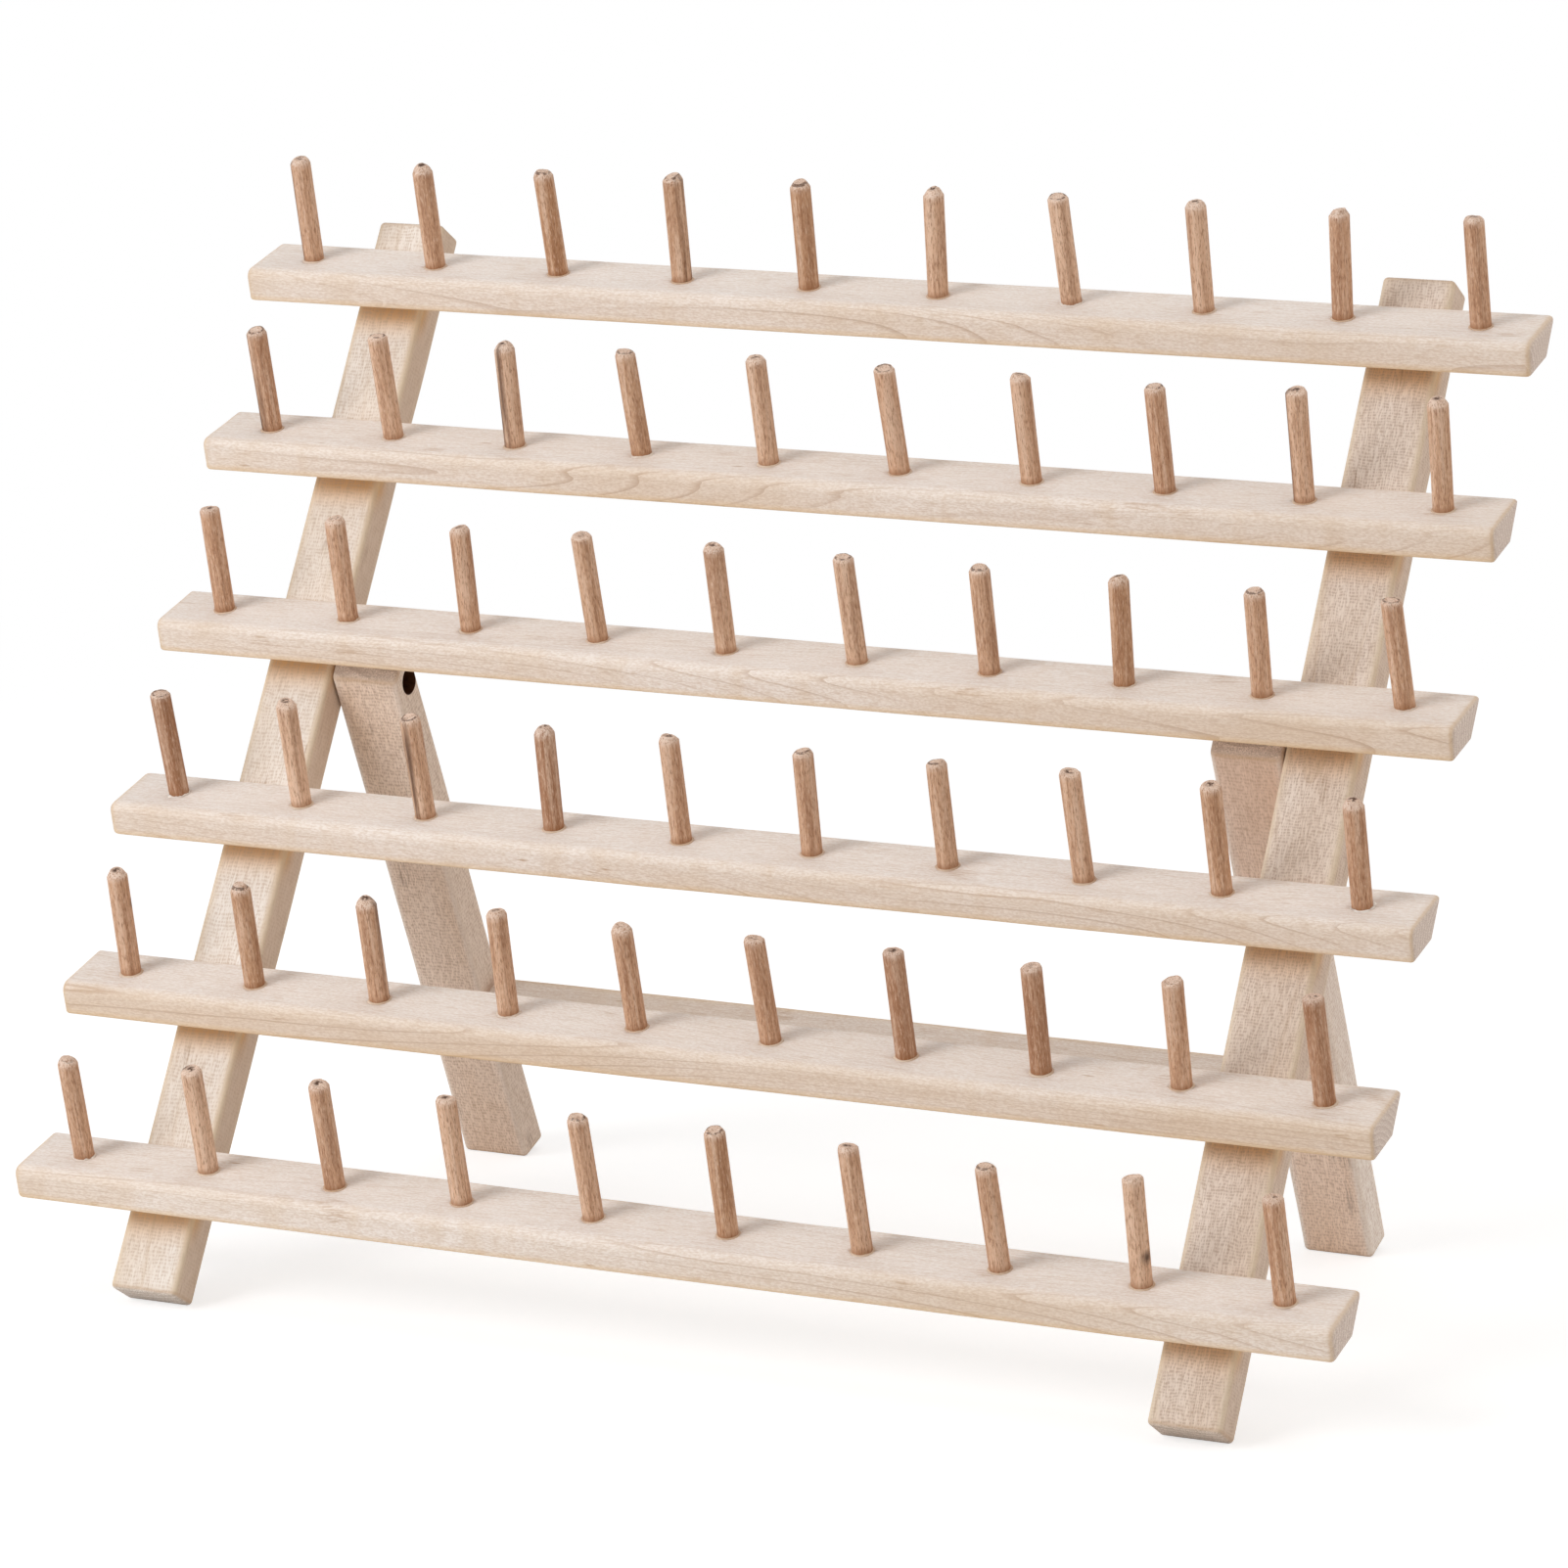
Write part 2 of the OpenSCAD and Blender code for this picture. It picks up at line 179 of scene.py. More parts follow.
def birchBoard(name, look):
    material, add = newMaterial(name)
    grainCo = add("ShaderNodeAttribute", attribute_name="boardCo").outputs["Vector"]
    ends, edges, quietFaceShading, shadeAndStain = (add("ShaderNodeAttribute", attribute_name=part).outputs["Fac"]
                                 for part in ("endShare", "edgeShare", "quietFaceShadingShare", "shadeAndStainShare"))

    def grainNoise(squeeze, wideMm, detail, roughness=0.5):
        # marks this wide, drawn out along the grain
        along = add("ShaderNodeMapping", {"Vector": grainCo, "Scale": (squeeze, 1, 1)})
        return add("ShaderNodeTexNoise", {"Vector": along, "Scale": 1 / (wideMm * mm), "Detail": detail,
                                          "Roughness": roughness})

    # growth rings round a pith beside the board, fading in and out along it
    ringCo = add("ShaderNodeMapping", {"Vector": grainCo, "Scale": (0.12, 1, 1)})
    rings = add("ShaderNodeTexWave", {
        "Vector": ringCo, "Scale": waveTurn / (look["ringMm"] * mm), "Distortion": 3, "Detail": 2.5,
        "Detail Scale": 0.35, "Detail Roughness": 0.6},
        wave_type="RINGS", rings_direction="X", wave_profile="SAW").outputs["Fac"]
    lateWood = add("ShaderNodeMapRange", (rings, 0.84, 1.0), interpolation_type="SMOOTHSTEP")
    lines = shareOf(add, lateWood, (grainNoise(0.12, birch["lineFadeMm"], 1), 0.34, 0.58, 0.15),
                    (quietFaceShading, 0, 1, 1, 0.3), look["lineMost"])
    curl = shareOf(add, (grainNoise(2.6, birch["curlMm"], 1), 0.52, 0.72), (quietFaceShading, 0, 1, 1, 0.2),
                   look["curlMost"])
    # cut pores, drawn a little wider than real ones, so that they show
    pores = grainNoise(0.06, birch["poreMm"], 3, 0.6)
    # cut rays: short dashes, in rows where the saw left its marks, drawn a little coarser than real ones
    saw = add("ShaderNodeTexWave", {
        "Vector": grainCo, "Scale": waveTurn / (look["sawMm"] * mm), "Distortion": 7, "Detail": 1,
        "Detail Scale": 0.6}, wave_type="BANDS", bands_direction="X", wave_profile="SIN").outputs["Fac"]
    grit = shareOf(add, (grainNoise(look["gritAlong"], look["gritMm"], 1), 0.4, 0.6),
                   (saw, 0.25, 0.7, 1 - look["sawMost"]))
    # pith flecks, 0.5 by 3 mm and far between
    fleckCo = add("ShaderNodeMapping", {"Vector": grainCo, "Scale": (0.17, 1, 1)})
    fleckDot = add("ShaderNodeTexVoronoi", {"Vector": fleckCo, "Scale": 1 / (birch["fleckGapMm"] * mm)})
    fleckPatch = grainNoise(0.17, birch["fleckPatchMm"], 0)
    flecks = shareOf(add, (fleckDot, 0.08, 0.03),
                     (fleckPatch, look["fleckFrom"], look["fleckFrom"] + 0.07), 0.75)
    smudges = shareOf(add, (grainNoise(0.4, birch["smudgeMm"], 1), 0.68, 0.76), (pores, 0.4, 0.6), 0.35)
    # painted light and shade: the quiet-face tone marks faces that the light meets differently; the
    # shade-and-stain tone is painted shade under the rails on the front legs, and a darker end and glue on the
    # back legs
    colour = layered(
        add, look["pale"], (shareOf(add, (grainNoise(0.22, look["mottleMm"], 3), 0.32, 0.68)), look["tan"]),
        (shareOf(add, quietFaceShading, 0.8), look["quietFaceShading"]), (shareOf(add, shadeAndStain, look["shadeAndStainMost"]), look["shadeAndStain"]),
        (curl, look["tan"]), (lines, look["line"]),
        (shareOf(add, (pores, 0.5, 0.68), look["poreMost"]), look["grit"]),
        (shareOf(add, grit, (quietFaceShading, 0, 1, 1, 0.75), look["gritMost"]), look["grit"]),
        (smudges, look["fleck"]), (flecks, look["fleck"]),
        (shareOf(add, edges, look["edgeMost"]), look["edge"]))

    # ends: rubbed yellow on the arris, grey and open on the cut
    dots = shareOf(add, (grainNoise(1, birch["endDotMm"], 2, 0.7), 0.3, 0.65, 0.15), (rings, 0.2, 1, 1, 0.55))
    cut = add("ShaderNodeMapRange", (ends, 0.6, 0.97, 0, 0.92), interpolation_type="SMOOTHSTEP")
    colour = layered(add, colour, (shareOf(add, (ends, 0.1, 0.5, 0, 0.5)), look["arris"]),
                     (cut, layered(add, look["endGrain"], (dots, look["pale"]))))
    height = add("ShaderNodeMath", (grit, -0.6, pores), operation="MULTIPLY_ADD")
    surfaced(add, colour, height, 0.6, look["bumpMm"], {**bareWood, "Roughness": look["roughness"]})
    return material


planedBirch = birchBoard("planed_birch", railLook)
legBirch = {
    "frontLeft": birchBoard("sawn_birch_sapwood", frontLegLook),
    "frontRight": birchBoard("sawn_birch_pink", {
        **frontLegLook, "pale": "#f3e4d7", "tan": "#e5d1bf", "quietFaceShading": "#dfcbbb", "grit": "#b09079",
        "gritMm": 0.44, "gritMost": 0.6, "sawMm": 0.95, "sawMost": 0.65, "shadeAndStainMost": 0.8}),
    "backLeft": birchBoard("sawn_birch_heartwood", backLegLook),
    # painted light: the right back leg gets a lighter copy of the back legs' birch, most of all on its quiet side
    # faces, for the light from the right on it
    "backRight": birchBoard("sawn_birch_painted_light", {
        **backLegLook, "pale": "#ffe9d8", "tan": "#f7dac2", "quietFaceShading": "#fff8f1", "grit": "#b8947b"}),
}

# Painted shade in the pivot bore: its wall is coloured nearly black for the shade deep inside, with brown patches
# for a painted sheen, and it is a little shiny.
boreShade = {"black": "#1a100b", "brown": "#6b4028", "patchMm": 1.2, "bumpMm": 0.05, "roughness": 0.34}


def paintedBoreShade():
    material, add = newMaterial("bore_painted_shade")
    co = add("ShaderNodeTexCoord").outputs["Object"]
    sheenPatches = add("ShaderNodeTexNoise", {"Vector": co, "Scale": 1 / (boreShade["patchMm"] * mm), "Detail": 3})
    surfaced(add, layered(add, boreShade["black"], (sheenPatches, boreShade["brown"])), sheenPatches, 0.5, boreShade["bumpMm"],
             {"Roughness": boreShade["roughness"]})
    return material


boreShadeMaterial = paintedBoreShade()
print("birch mixed")

# Boards are swept along their grain: l runs along it, a and b across it
boardMaking = {"stepMm": 2.5, "arcCuts": 5, "endCuts": 5, "guardMm": 0.4, "leastRoundMm": 0.05,
               "probeMm": 0.02, "wobbleMm": 0.07, "wobbleAlongMm": 26, "wobbleAcrossMm": 9, "edgeWear": 0.25,
               "wearAlongMm": 30, "endRub": 1.25, "edgeBandMm": 1.6, "cornerIn": 0.4, "roundedMm": 2}


def roundedLoop(corners, radii, sideShares, inset):
    count, arcCuts = len(corners), boardMaking["arcCuts"]
    moved = []
    for i, here in enumerate(corners):
        into = (here - corners[i - 1]).normalized()
        away = (corners[(i + 1) % count] - here).normalized()
        leftOfInto, leftOfAway = Vector((-into.y, into.x)), Vector((-away.y, away.x))
        moved.append(here + (leftOfInto + leftOfAway) * (inset / (1 + leftOfInto.dot(leftOfAway))))
    arcs = []
    for i, here in enumerate(moved):
        back = (moved[i - 1] - here).normalized()
        ahead = (moved[(i + 1) % count] - here).normalized()
        half = back.angle(ahead) / 2
        radius = max(radii[i] - inset, boardMaking["leastRoundMm"])
        centre = here + (back + ahead).normalized() * (radius / math.sin(half))
        spoke = here + back * (radius / math.tan(half)) - centre
        turn = math.pi - 2 * half
        arcs.append([centre + Matrix.Rotation(turn * k / arcCuts, 2) @ spoke for k in range(arcCuts + 1)])
    loop = []
    for i in range(count):
        loop += arcs[i]
        start, stop = arcs[i][-1], arcs[(i + 1) % count][0]
        loop += [start.lerp(stop, share) for share in sideShares[i]]
    return loop


def tubeFaces(rings, around):
    # quads between rings of points, and a cap on either end
    faces = []
    for s in range(rings - 1):
        for k in range(around):
            n = (k + 1) % around
            faces.append((s * around + k, s * around + n, (s + 1) * around + n, (s + 1) * around + k))
    return faces + [tuple(range(around - 1, -1, -1)), tuple(range((rings - 1) * around, rings * around))]


def sweepBoard(name, shape, seed):
    corners, endEase, ends = [Vector(c) for c in shape["corners"]], shape["endEase"], shape["ends"]
    dice = random.Random(seed)
    step, guard, endCuts = boardMaking["stepMm"], boardMaking["guardMm"], boardMaking["endCuts"]
    sideShares = []
    for i, corner in enumerate(corners):
        length = (corners[(i + 1) % len(corners)] - corner).length
        cuts = max(1, round(length / step))
        sideShares.append([guard / length] + [k / cuts for k in range(1, cuts)] + [1 - guard / length])
    swings = [math.pi / 2 * k / endCuts for k in range(endCuts + 1)]
    reach = abs(ends[1](*corners[0]) - ends[0](*corners[0]))
    cuts = max(2, round(reach / step))
    stations = [("start", 0.0, endEase[0] + guard)]
    stations += [("start", endEase[0] * (1 - math.cos(s)), endEase[0] * (1 - math.sin(s))) for s in swings]
    stations += [("run", k / cuts, 0.0) for k in range(1, cuts)]
    stations += [("stop", endEase[1] * (1 - math.cos(s)), endEase[1] * (1 - math.sin(s)))
                 for s in reversed(swings)]
    stations += [("stop", 0.0, endEase[1] + guard)]
    drift = Vector([dice.uniform(0, 900) for _ in range(3)])
    points = []
    for kind, value, inset in stations:
        along = {"start": 0.0, "run": value, "stop": 1.0}[kind] * reach / boardMaking["wearAlongMm"]
        worn = [r * (1 + boardMaking["edgeWear"] * noise.noise(drift + Vector((along, 7 * i, 0))))
                for i, r in enumerate(shape["radii"])]
        outer = roundedLoop(corners, worn, sideShares, inset)
        inner = roundedLoop(corners, worn, sideShares, inset + boardMaking["probeMm"])
        for p, q in zip(outer, inner):
            low, high = ends[0](p.x, p.y), ends[1](p.x, p.y)
            l = {"start": low + value, "stop": high - value,
                 "run": low + endEase[0] + (high - endEase[1] - low - endEase[0]) * value}[kind]
            spot = Vector((l / boardMaking["wobbleAlongMm"], *(p / boardMaking["wobbleAcrossMm"])))
            p = p + (p - q).normalized() * boardMaking["wobbleMm"] * noise.noise(drift + spot)
            points.append(Vector((p.x, p.y, l)) if shape["upright"] else Vector((l, p.x, p.y)))
    mesh = bpy.data.meshes.new(name)
    mesh.from_pydata([(shape["place"] @ p) * mm for p in points], [],
                     tubeFaces(len(stations), len(points) // len(stations)))
    mesh.polygons.foreach_set("use_smooth", [True] * len(mesh.polygons))
    board = bpy.data.objects.new(name, mesh)
    scene.collection.objects.link(board)
    return board


def lathe(profile, place, segments=28):
    points = []
    for r, z in profile:
        for k in range(segments):
            turn = 2 * math.pi * k / segments
            points.append((place @ Vector((r * math.cos(turn), r * math.sin(turn), z))) * mm)
    return points, tubeFaces(len(profile), segments)


def plainMesh(maker):
    # what a piece's modifiers make of it, as a mesh of its own
    made = bpy.data.meshes.new_from_object(maker.evaluated_get(bpy.context.evaluated_depsgraph_get()))
    maker.modifiers.clear()
    before, maker.data = maker.data, made
    made.name = maker.name
    bpy.data.meshes.remove(before)


def drill(board, bits):
    points, faces = [], []
    for bitPoints, bitFaces in bits:
        faces += [tuple(i + len(points) for i in face) for face in bitFaces]
        points += bitPoints
    mesh = bpy.data.meshes.new("drillBits")
    mesh.from_pydata(points, [], faces)
    holder = bpy.data.objects.new("drillBits", mesh)
    scene.collection.objects.link(holder)
    cut = board.modifiers.new("drill", "BOOLEAN")
    cut.operation, cut.solver, cut.object = "DIFFERENCE", "EXACT", holder
    plainMesh(board)
    bpy.data.objects.remove(holder)
    bpy.data.meshes.remove(mesh)


def grainOf(board, shape, pith, material, quietFaceShadingAt, shadeAndStainAt=None):
    # boardCo is the place in the tree, with the pith in its middle; the shares are 1 on cut ends, along the sharp
    # long edges, on the quieter faces that get painted light or shade, and where painted shade under the rails, a
    # darker end and glue are laid
    mesh = board.data
    toBoard, ends = shape["place"].inverted(), shape["ends"]
    sharp = [(Vector(c), r) for c, r in zip(shape["corners"], shape["radii"]) if r < boardMaking["roundedMm"]]
    parts = {"boardCo": [], "endShare": [], "edgeShare": [], "quietFaceShadingShare": [], "shadeAndStainShare": []}
    for vertex in mesh.vertices:
        p = toBoard @ (vertex.co / mm)
        l, a, b = (p.z, p.x, p.y) if shape["upright"] else (p.x, p.y, p.z)
        bow = pith["bow"] * math.sin(2 * math.pi * l / pith["wave"] + pith["phase"])
        parts["boardCo"] += [(l + pith["along"]) * mm, (a + pith["across"] + l * pith["slopeA"] + bow) * mm,
                             (b + pith["deep"] + l * pith["slopeB"]) * mm]
        fromEnd = min((l - ends[0](a, b)) / shape["endEase"][0], (ends[1](a, b) - l) / shape["endEase"][1])
        parts["endShare"].append(clamp(1 - fromEnd / boardMaking["endRub"]) if shape["cutEnds"] else 0.0)
        fromCorner = min((Vector((a, b)) - c).length - boardMaking["cornerIn"] * r for c, r in sharp)
        parts["edgeShare"].append(clamp(1 - fromCorner / boardMaking["edgeBandMm"]))
        parts["quietFaceShadingShare"].append(quietFaceShadingAt(a, b))
        parts["shadeAndStainShare"].append(shadeAndStainAt(l, a, b) if shadeAndStainAt else 0.0)
    for part in parts:
        mesh.attributes.new(part, "FLOAT_VECTOR" if part == "boardCo" else "FLOAT", "POINT")
    for part, values in parts.items():
        mesh.attributes[part].data.foreach_set("vector" if part == "boardCo" else "value", values)
    mesh.materials.clear()
    mesh.materials.append(material)


def finishPiece(piece, body, slot, *nodes):
    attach(piece, body)
    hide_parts(*nodes)


# Rails: a strip with its back edge ripped at the bevel and its top front edge rounded over
rail = {"wide": 23.8, "thick": 9.8, "round": 3.0, "ease": 0.7, "leftEase": 2.1, "rightEase": 1.7,
        "squareOff": 0.02, "topFadeMm": 2.5, "seed": 40}
peg = {"count": 10, "diameter": 2 * lastPeg["dims"]["r_mm"], "out": 32.4, "sunk": 3, "holeDeep": 4,
       "holeGap": 0.08, "holeEase": 0.2, "strayMm": 0.42, "seed": 7}
pegPitch = 2 * pegFoot.x / (peg["count"] - 1)
pegDice = random.Random(peg["seed"])
pegMarks = {}
for row in rows:
    pegMarks[row] = []
    for i in range(peg["count"]):
        along = (i - (peg["count"] - 1) / 2) * pegPitch
        strayX, strayY = (pegDice.uniform(-1, 1) * peg["strayMm"] for _ in range(2))
        pegMarks[row].append(Vector((along + strayX, strayY - rack["pegSetIn"], 0)))
railHalf = reachAcross("rail_1")[1]
railCorners = [(0, 0), (-rail["wide"], 0), (-rail["wide"], -rail["thick"]),
               (-rail["thick"] * math.tan(math.radians(rack["railBevel"])), -rail["thick"])]
needle, clear = 0.01, 1.0        # a bit's point, and how far it stands clear of the wood
holeR = peg["diameter"] / 2 + peg["holeGap"]
easedR = holeR + peg["holeEase"]
pegHole = [(needle, -peg["holeDeep"]), (holeR, -peg["holeDeep"]), (holeR, -peg["holeEase"]), (easedR, 0.02),
           (easedR, clear)]


# painted light: the rail's top face behind the rounded edge takes a paler, cooler tone for the light from above,
# and quieter grain
def railTopShading(a, b):
    return clamp((a + rail["wide"]) / rail["round"] - 0.1) * clamp((b + rail["round"]) / rail["topFadeMm"])


for row in rows:
    dice = random.Random(rail["seed"] + row)
    skewLeft, skewRight = (dice.uniform(-1, 1) * rail["squareOff"] for _ in range(2))
    shape = {"corners": railCorners, "radii": [rail["ease"], rail["round"], rail["ease"], rail["ease"]],
             "endEase": (rail["leftEase"] * dice.uniform(0.7, 1.3),
                         rail["rightEase"] * dice.uniform(0.8, 1.2)),
             "cutEnds": True, "upright": False, "place": railFrames[row],
             "ends": (lambda a, b, k=skewLeft: -railHalf + k * (a + rail["wide"] / 2),
                      lambda a, b, k=skewRight: railHalf + k * (a + rail["wide"] / 2))}
    board = sweepBoard("rail%dBoard" % row, shape, rail["seed"] + row)
    drill(board, [lathe(pegHole, railFrames[row] @ Matrix.Translation(mark), 24) for mark in pegMarks[row]])
    pith = {"along": dice.uniform(0, 3000),
            "across": rail["wide"] + dice.choice((-1, 1)) * dice.uniform(6, 20), "deep": dice.uniform(3, 18),
            "slopeA": dice.uniform(-0.06, 0.06), "slopeB": dice.uniform(-0.02, 0.02),
            "bow": dice.uniform(0.4, 2.4), "wave": dice.uniform(150, 280), "phase": dice.uniform(0, 6)}
    grainOf(board, shape, pith, planedBirch, railTopShading)
    finishPiece(board, "front_frame", "rail_wood", "rail_%d" % row)
print("rails made")

# Legs and crossbar: square bars straight from the saw, their edges eased
leg = {"long": 336, "paintedShadeMm": 8, "paintedShadeFade": 1.3, "paintedShadeDeepMm": 4, "sideFadeMm": 1.2, "seed": 60}
back = {"reach": 177.4, "front": -7.2, "stop": 7.7, "footCut": 6, "darkEnd": {"Left": -0.16, "Right": 0.35},
        "glueMm": 5, "glueInMm": 1.5, "seed": 70}
bar = {"low": -134.9, "high": -114.9, "buttMm": 0.02, "heartAt": -40, "quietFaceShading": 0.6, "seed": 80}
screw = {"headR": 3.5, "shankR": 1.75, "cone": 1.75, "gap": 0.05, "sinkMm": 0.15, "dome": 0.12, "point": 3,
         "rise": 4, "railLong": 18.5, "barLong": 41.5, "drillMm": 20, "seed": 3}
pivot = {"boreR": 4.2, "bore": 7, "holeR": 2.05, "headR": 3.6, "headH": 2.6, "shankR": 2, "cone": 0.02,
         "play": 0.3, "long": 28.3, "drillMm": 40, "slack": 0.02, "paleRim": 0.3, "seed": 5}
legInner, legOuter = reachAcross("front_leg_right")
backInner, backOuter = reachAcross("back_leg_right")
backRear = back["front"] + rack["legThick"]
barMiddle = Vector((0, (back["front"] + backRear) / 2, (bar["low"] + bar["high"]) / 2))
railBackH = rail["thick"] / math.cos(math.radians(rack["railBevel"]))
railUnders = [up - railBackH for up in railUps.values()]
shankHoleR, headHoleR = screw["shankR"] + screw["gap"], screw["headR"] + screw["gap"]
countersink = [(needle, -screw["drillMm"]), (shankHoleR, -screw["drillMm"]), (shankHoleR, -screw["cone"]),
               (headHoleR, 0), (headHoleR, clear)]
barHole = [(needle, -screw["barLong"]), (shankHoleR, -screw["barLong"]), (shankHoleR, clear)]
pivotBore = [(needle, -pivot["drillMm"]), (pivot["holeR"], -pivot["drillMm"]),
             (pivot["holeR"], -pivot["bore"]), (pivot["boreR"], -pivot["bore"]), (pivot["boreR"], clear)]
fromBack = Matrix.Rotation(math.radians(-90), 4, "X")      # turns a bit so that it comes in from the back


def fromSide(side):
    return Matrix.Rotation(math.radians(90 * side), 4, "Y")


def squareBar(spanA, spanB, ends, place, upright=True):
    corners = [(spanA[0], spanB[0]), (spanA[1], spanB[0]), (spanA[1], spanB[1]), (spanA[0], spanB[1])]
    return {"corners": corners, "radii": [rack["legEase"]] * 4, "endEase": (rack["legEase"],) * 2,
            "cutEnds": True, "ends": ends, "place": place, "upright": upright}


def barGrain(dice, middle):
    return {"along": dice.uniform(0, 3000), "across": -middle + dice.uniform(-6, 6),
            "deep": dice.choice((-1, 1)) * dice.uniform(25, 50), "slopeA": dice.uniform(-0.01, 0.01),
            "slopeB": dice.uniform(-0.02, 0.02), "bow": dice.uniform(0, 2), "wave": 300,
            "phase": dice.uniform(0, 6)}


# painted light and shade on the legs' side faces: a darker tone on the front legs, a paler one on the back legs,
# and quieter grain
def legSideShading(low, high):
    return lambda a, b: clamp(1.7 - min(a - low, high - a) / leg["sideFadeMm"])


def paintedShadeUnderRails(l, a, b):
    # painted shade: yellow below each rail, down the front of the leg and round its edges, standing in for the
    # shade under the rail
    below = min((under - l for under in railUnders if under >= l), default=leg["long"])
    return clamp(2 - below / leg["paintedShadeMm"]) ** leg["paintedShadeFade"] * clamp(1.5 - b / leg["paintedShadeDeepMm"])


def darkerEndAndGlue(share):
    # darker more and more towards the top, or towards the foot where the share is negative,
    # and glue squeezed out over the crossbar
    def stained(l, a, b):
        darkening = abs(share) * clamp((l + back["reach"] / 2) / back["reach"] * (1 if share > 0 else -1) + 0.5)
        squeezed = clamp(1 - abs(l - bar["high"]) / back["glueMm"])
        squeezed *= clamp(1.3 - (abs(a) - backInner) / back["glueInMm"])
        return max(darkening, 0.8 * squeezed)
    return stained


frontEnds = (lambda a, b: 0.0, lambda a, b: leg["long"])
backEnds = (lambda a, b: -back["reach"] - (b - back["front"]) * math.tan(math.radians(back["footCut"])),
            lambda a, b: (back["stop"] + b * math.cos(openTurn)) / math.sin(openTurn))
for label, side in sides.items():
    dice = random.Random(leg["seed"] + side)
    span = sorted((side * legInner, side * legOuter))
    shape = squareBar(span, (0, rack["legThick"]), frontEnds, standing)
    board = sweepBoard("frontLeg%sBoard" % label, shape, leg["seed"] + side)
    drill(board, [lathe(countersink, standing @ Matrix.Translation((sum(span) / 2, rack["legThick"],
                                                                    under + screw["rise"])) @ fromBack)
                  for under in railUnders])
    grainOf(board, shape, barGrain(dice, sum(span) / 2), legBirch["front" + label], legSideShading(*span),
            paintedShadeUnderRails)
    finishPiece(board, "front_frame", "leg_wood", "front_leg_%s" % label.lower())

    dice = random.Random(back["seed"] + side)
    span = sorted((side * backInner, side * backOuter))
    shape = squareBar(span, (back["front"], backRear), backEnds, standFrame)
    board = sweepBoard("backLeg%sBoard" % label, shape, back["seed"] + side)
    toPivot = Matrix.Translation((side * backInner, 0, 0))
    toBarScrew = Matrix.Translation(barMiddle + Vector((side * backOuter, 0, 0)))
    drill(board, [lathe(pivotBore, standFrame @ toPivot @ fromSide(-side), 40),
                  lathe(countersink, standFrame @ toBarScrew @ fromSide(side))])
    grainOf(board, shape, barGrain(dice, sum(span) / 2), legBirch["back" + label], legSideShading(*span),
            darkerEndAndGlue(back["darkEnd"][label]))
    # painted shade: bore faces past a pale rim of wood at the mouth take the dark bore material
    board.data.materials.append(boreShadeMaterial)
    for face in board.data.polygons:
        spot = standFrame.inverted() @ (face.center / mm)
        inBore = math.hypot(spot.y, spot.z) < pivot["boreR"] + pivot["slack"]
        face.material_index = int(inBore and spot.x * side - backInner > pivot["paleRim"])
    finishPiece(board, "back_stand", "leg_wood", "back_leg_%s" % label.lower())

shape = {**squareBar((back["front"], backRear), (bar["low"], bar["high"]),
                     (lambda a, b: -backInner, lambda a, b: backInner), standFrame, False),
         "endEase": (bar["buttMm"],) * 2, "cutEnds": False}
board = sweepBoard("crossbarBoard", shape, bar["seed"])
drill(board, [lathe(barHole, standFrame @ Matrix.Translation(barMiddle + Vector((side * backInner, 0, 0)))
                    @ fromSide(side)) for side in sides.values()])
# painted light: the whole crossbar takes some of the rails' paler top tone and quieter grain, lifting it out of
# the shade it stands in behind the rails
grainOf(board, shape, barGrain(random.Random(bar["seed"]), bar["heartAt"]), planedBirch,
        lambda a, b: bar["quietFaceShading"])
finishPiece(board, "back_stand", "leg_wood", "crossbar")
print("legs and crossbar made")


def growFrom(name, marks, tree, values):
    # runs a node tree on points that know which way they face, and keeps what it makes as a plain mesh
    mesh = bpy.data.meshes.new(name)
    mesh.from_pydata([spot * mm for spot, facing in marks], [], [])
    mesh.attributes.new("facing", "FLOAT_VECTOR", "POINT")
    mesh.attributes["facing"].data.foreach_set("vector", [x for spot, facing in marks for x in facing])
    grown = bpy.data.objects.new(name, mesh)
    scene.collection.objects.link(grown)
    modifier = grown.modifiers.new("grow", "NODES")
    modifier.node_group = tree
    for socket in tree.interface.items_tree:
        if socket.name in values:
            modifier[socket.identifier] = values[socket.name]
    plainMesh(grown)
    return grown


def newTree(name, sizes, material):
    tree = bpy.data.node_groups.new(name, "GeometryNodeTree")
    tree.is_modifier = True
    kinds = {"Marks": "Geometry", **dict.fromkeys(sizes, "Float"), "Seed": "Int", material: "Material"}
    for label, kind in kinds.items():
        tree.interface.new_socket(label, in_out="INPUT", socket_type="NodeSocket" + kind)
    tree.interface.new_socket("Result", in_out="OUTPUT", socket_type="NodeSocketGeometry")
    add = partial(addNode, tree)
    return tree, add, add("NodeGroupInput").outputs


def closeTree(add, made, bendMost, material):
    # edges that bend further than this stay sharp
    bend = add("GeometryNodeInputMeshEdgeAngle")
    crease = add("ShaderNodeMath", (bend, bendMost), operation="GREATER_THAN")
    made = add("GeometryNodeSetShadeSmooth", (made, crease, False), domain="EDGE")
    made = add("GeometryNodeSetMaterial", {"Geometry": made, "Material": material})
    add("NodeGroupOutput", (made,))


# Pegs: each has its own length, tilt, taper and tip
pegShape = {"around": 24, "along": 24, "tipRings": 7, "lengthSpreadMm": 0.9, "tiltSpread": 3.2,
            "tipMinMm": 0.6, "tipMaxMm": 2.4, "tipFadeMm": (-0.4, 0.5), "slantMm": 1.1, "taper": 25,
            "lumpMm": 0.13, "lumpAlongMm": 13, "frayMm": 0.34, "frayAlongMm": 2, "bendMost": 0.5}


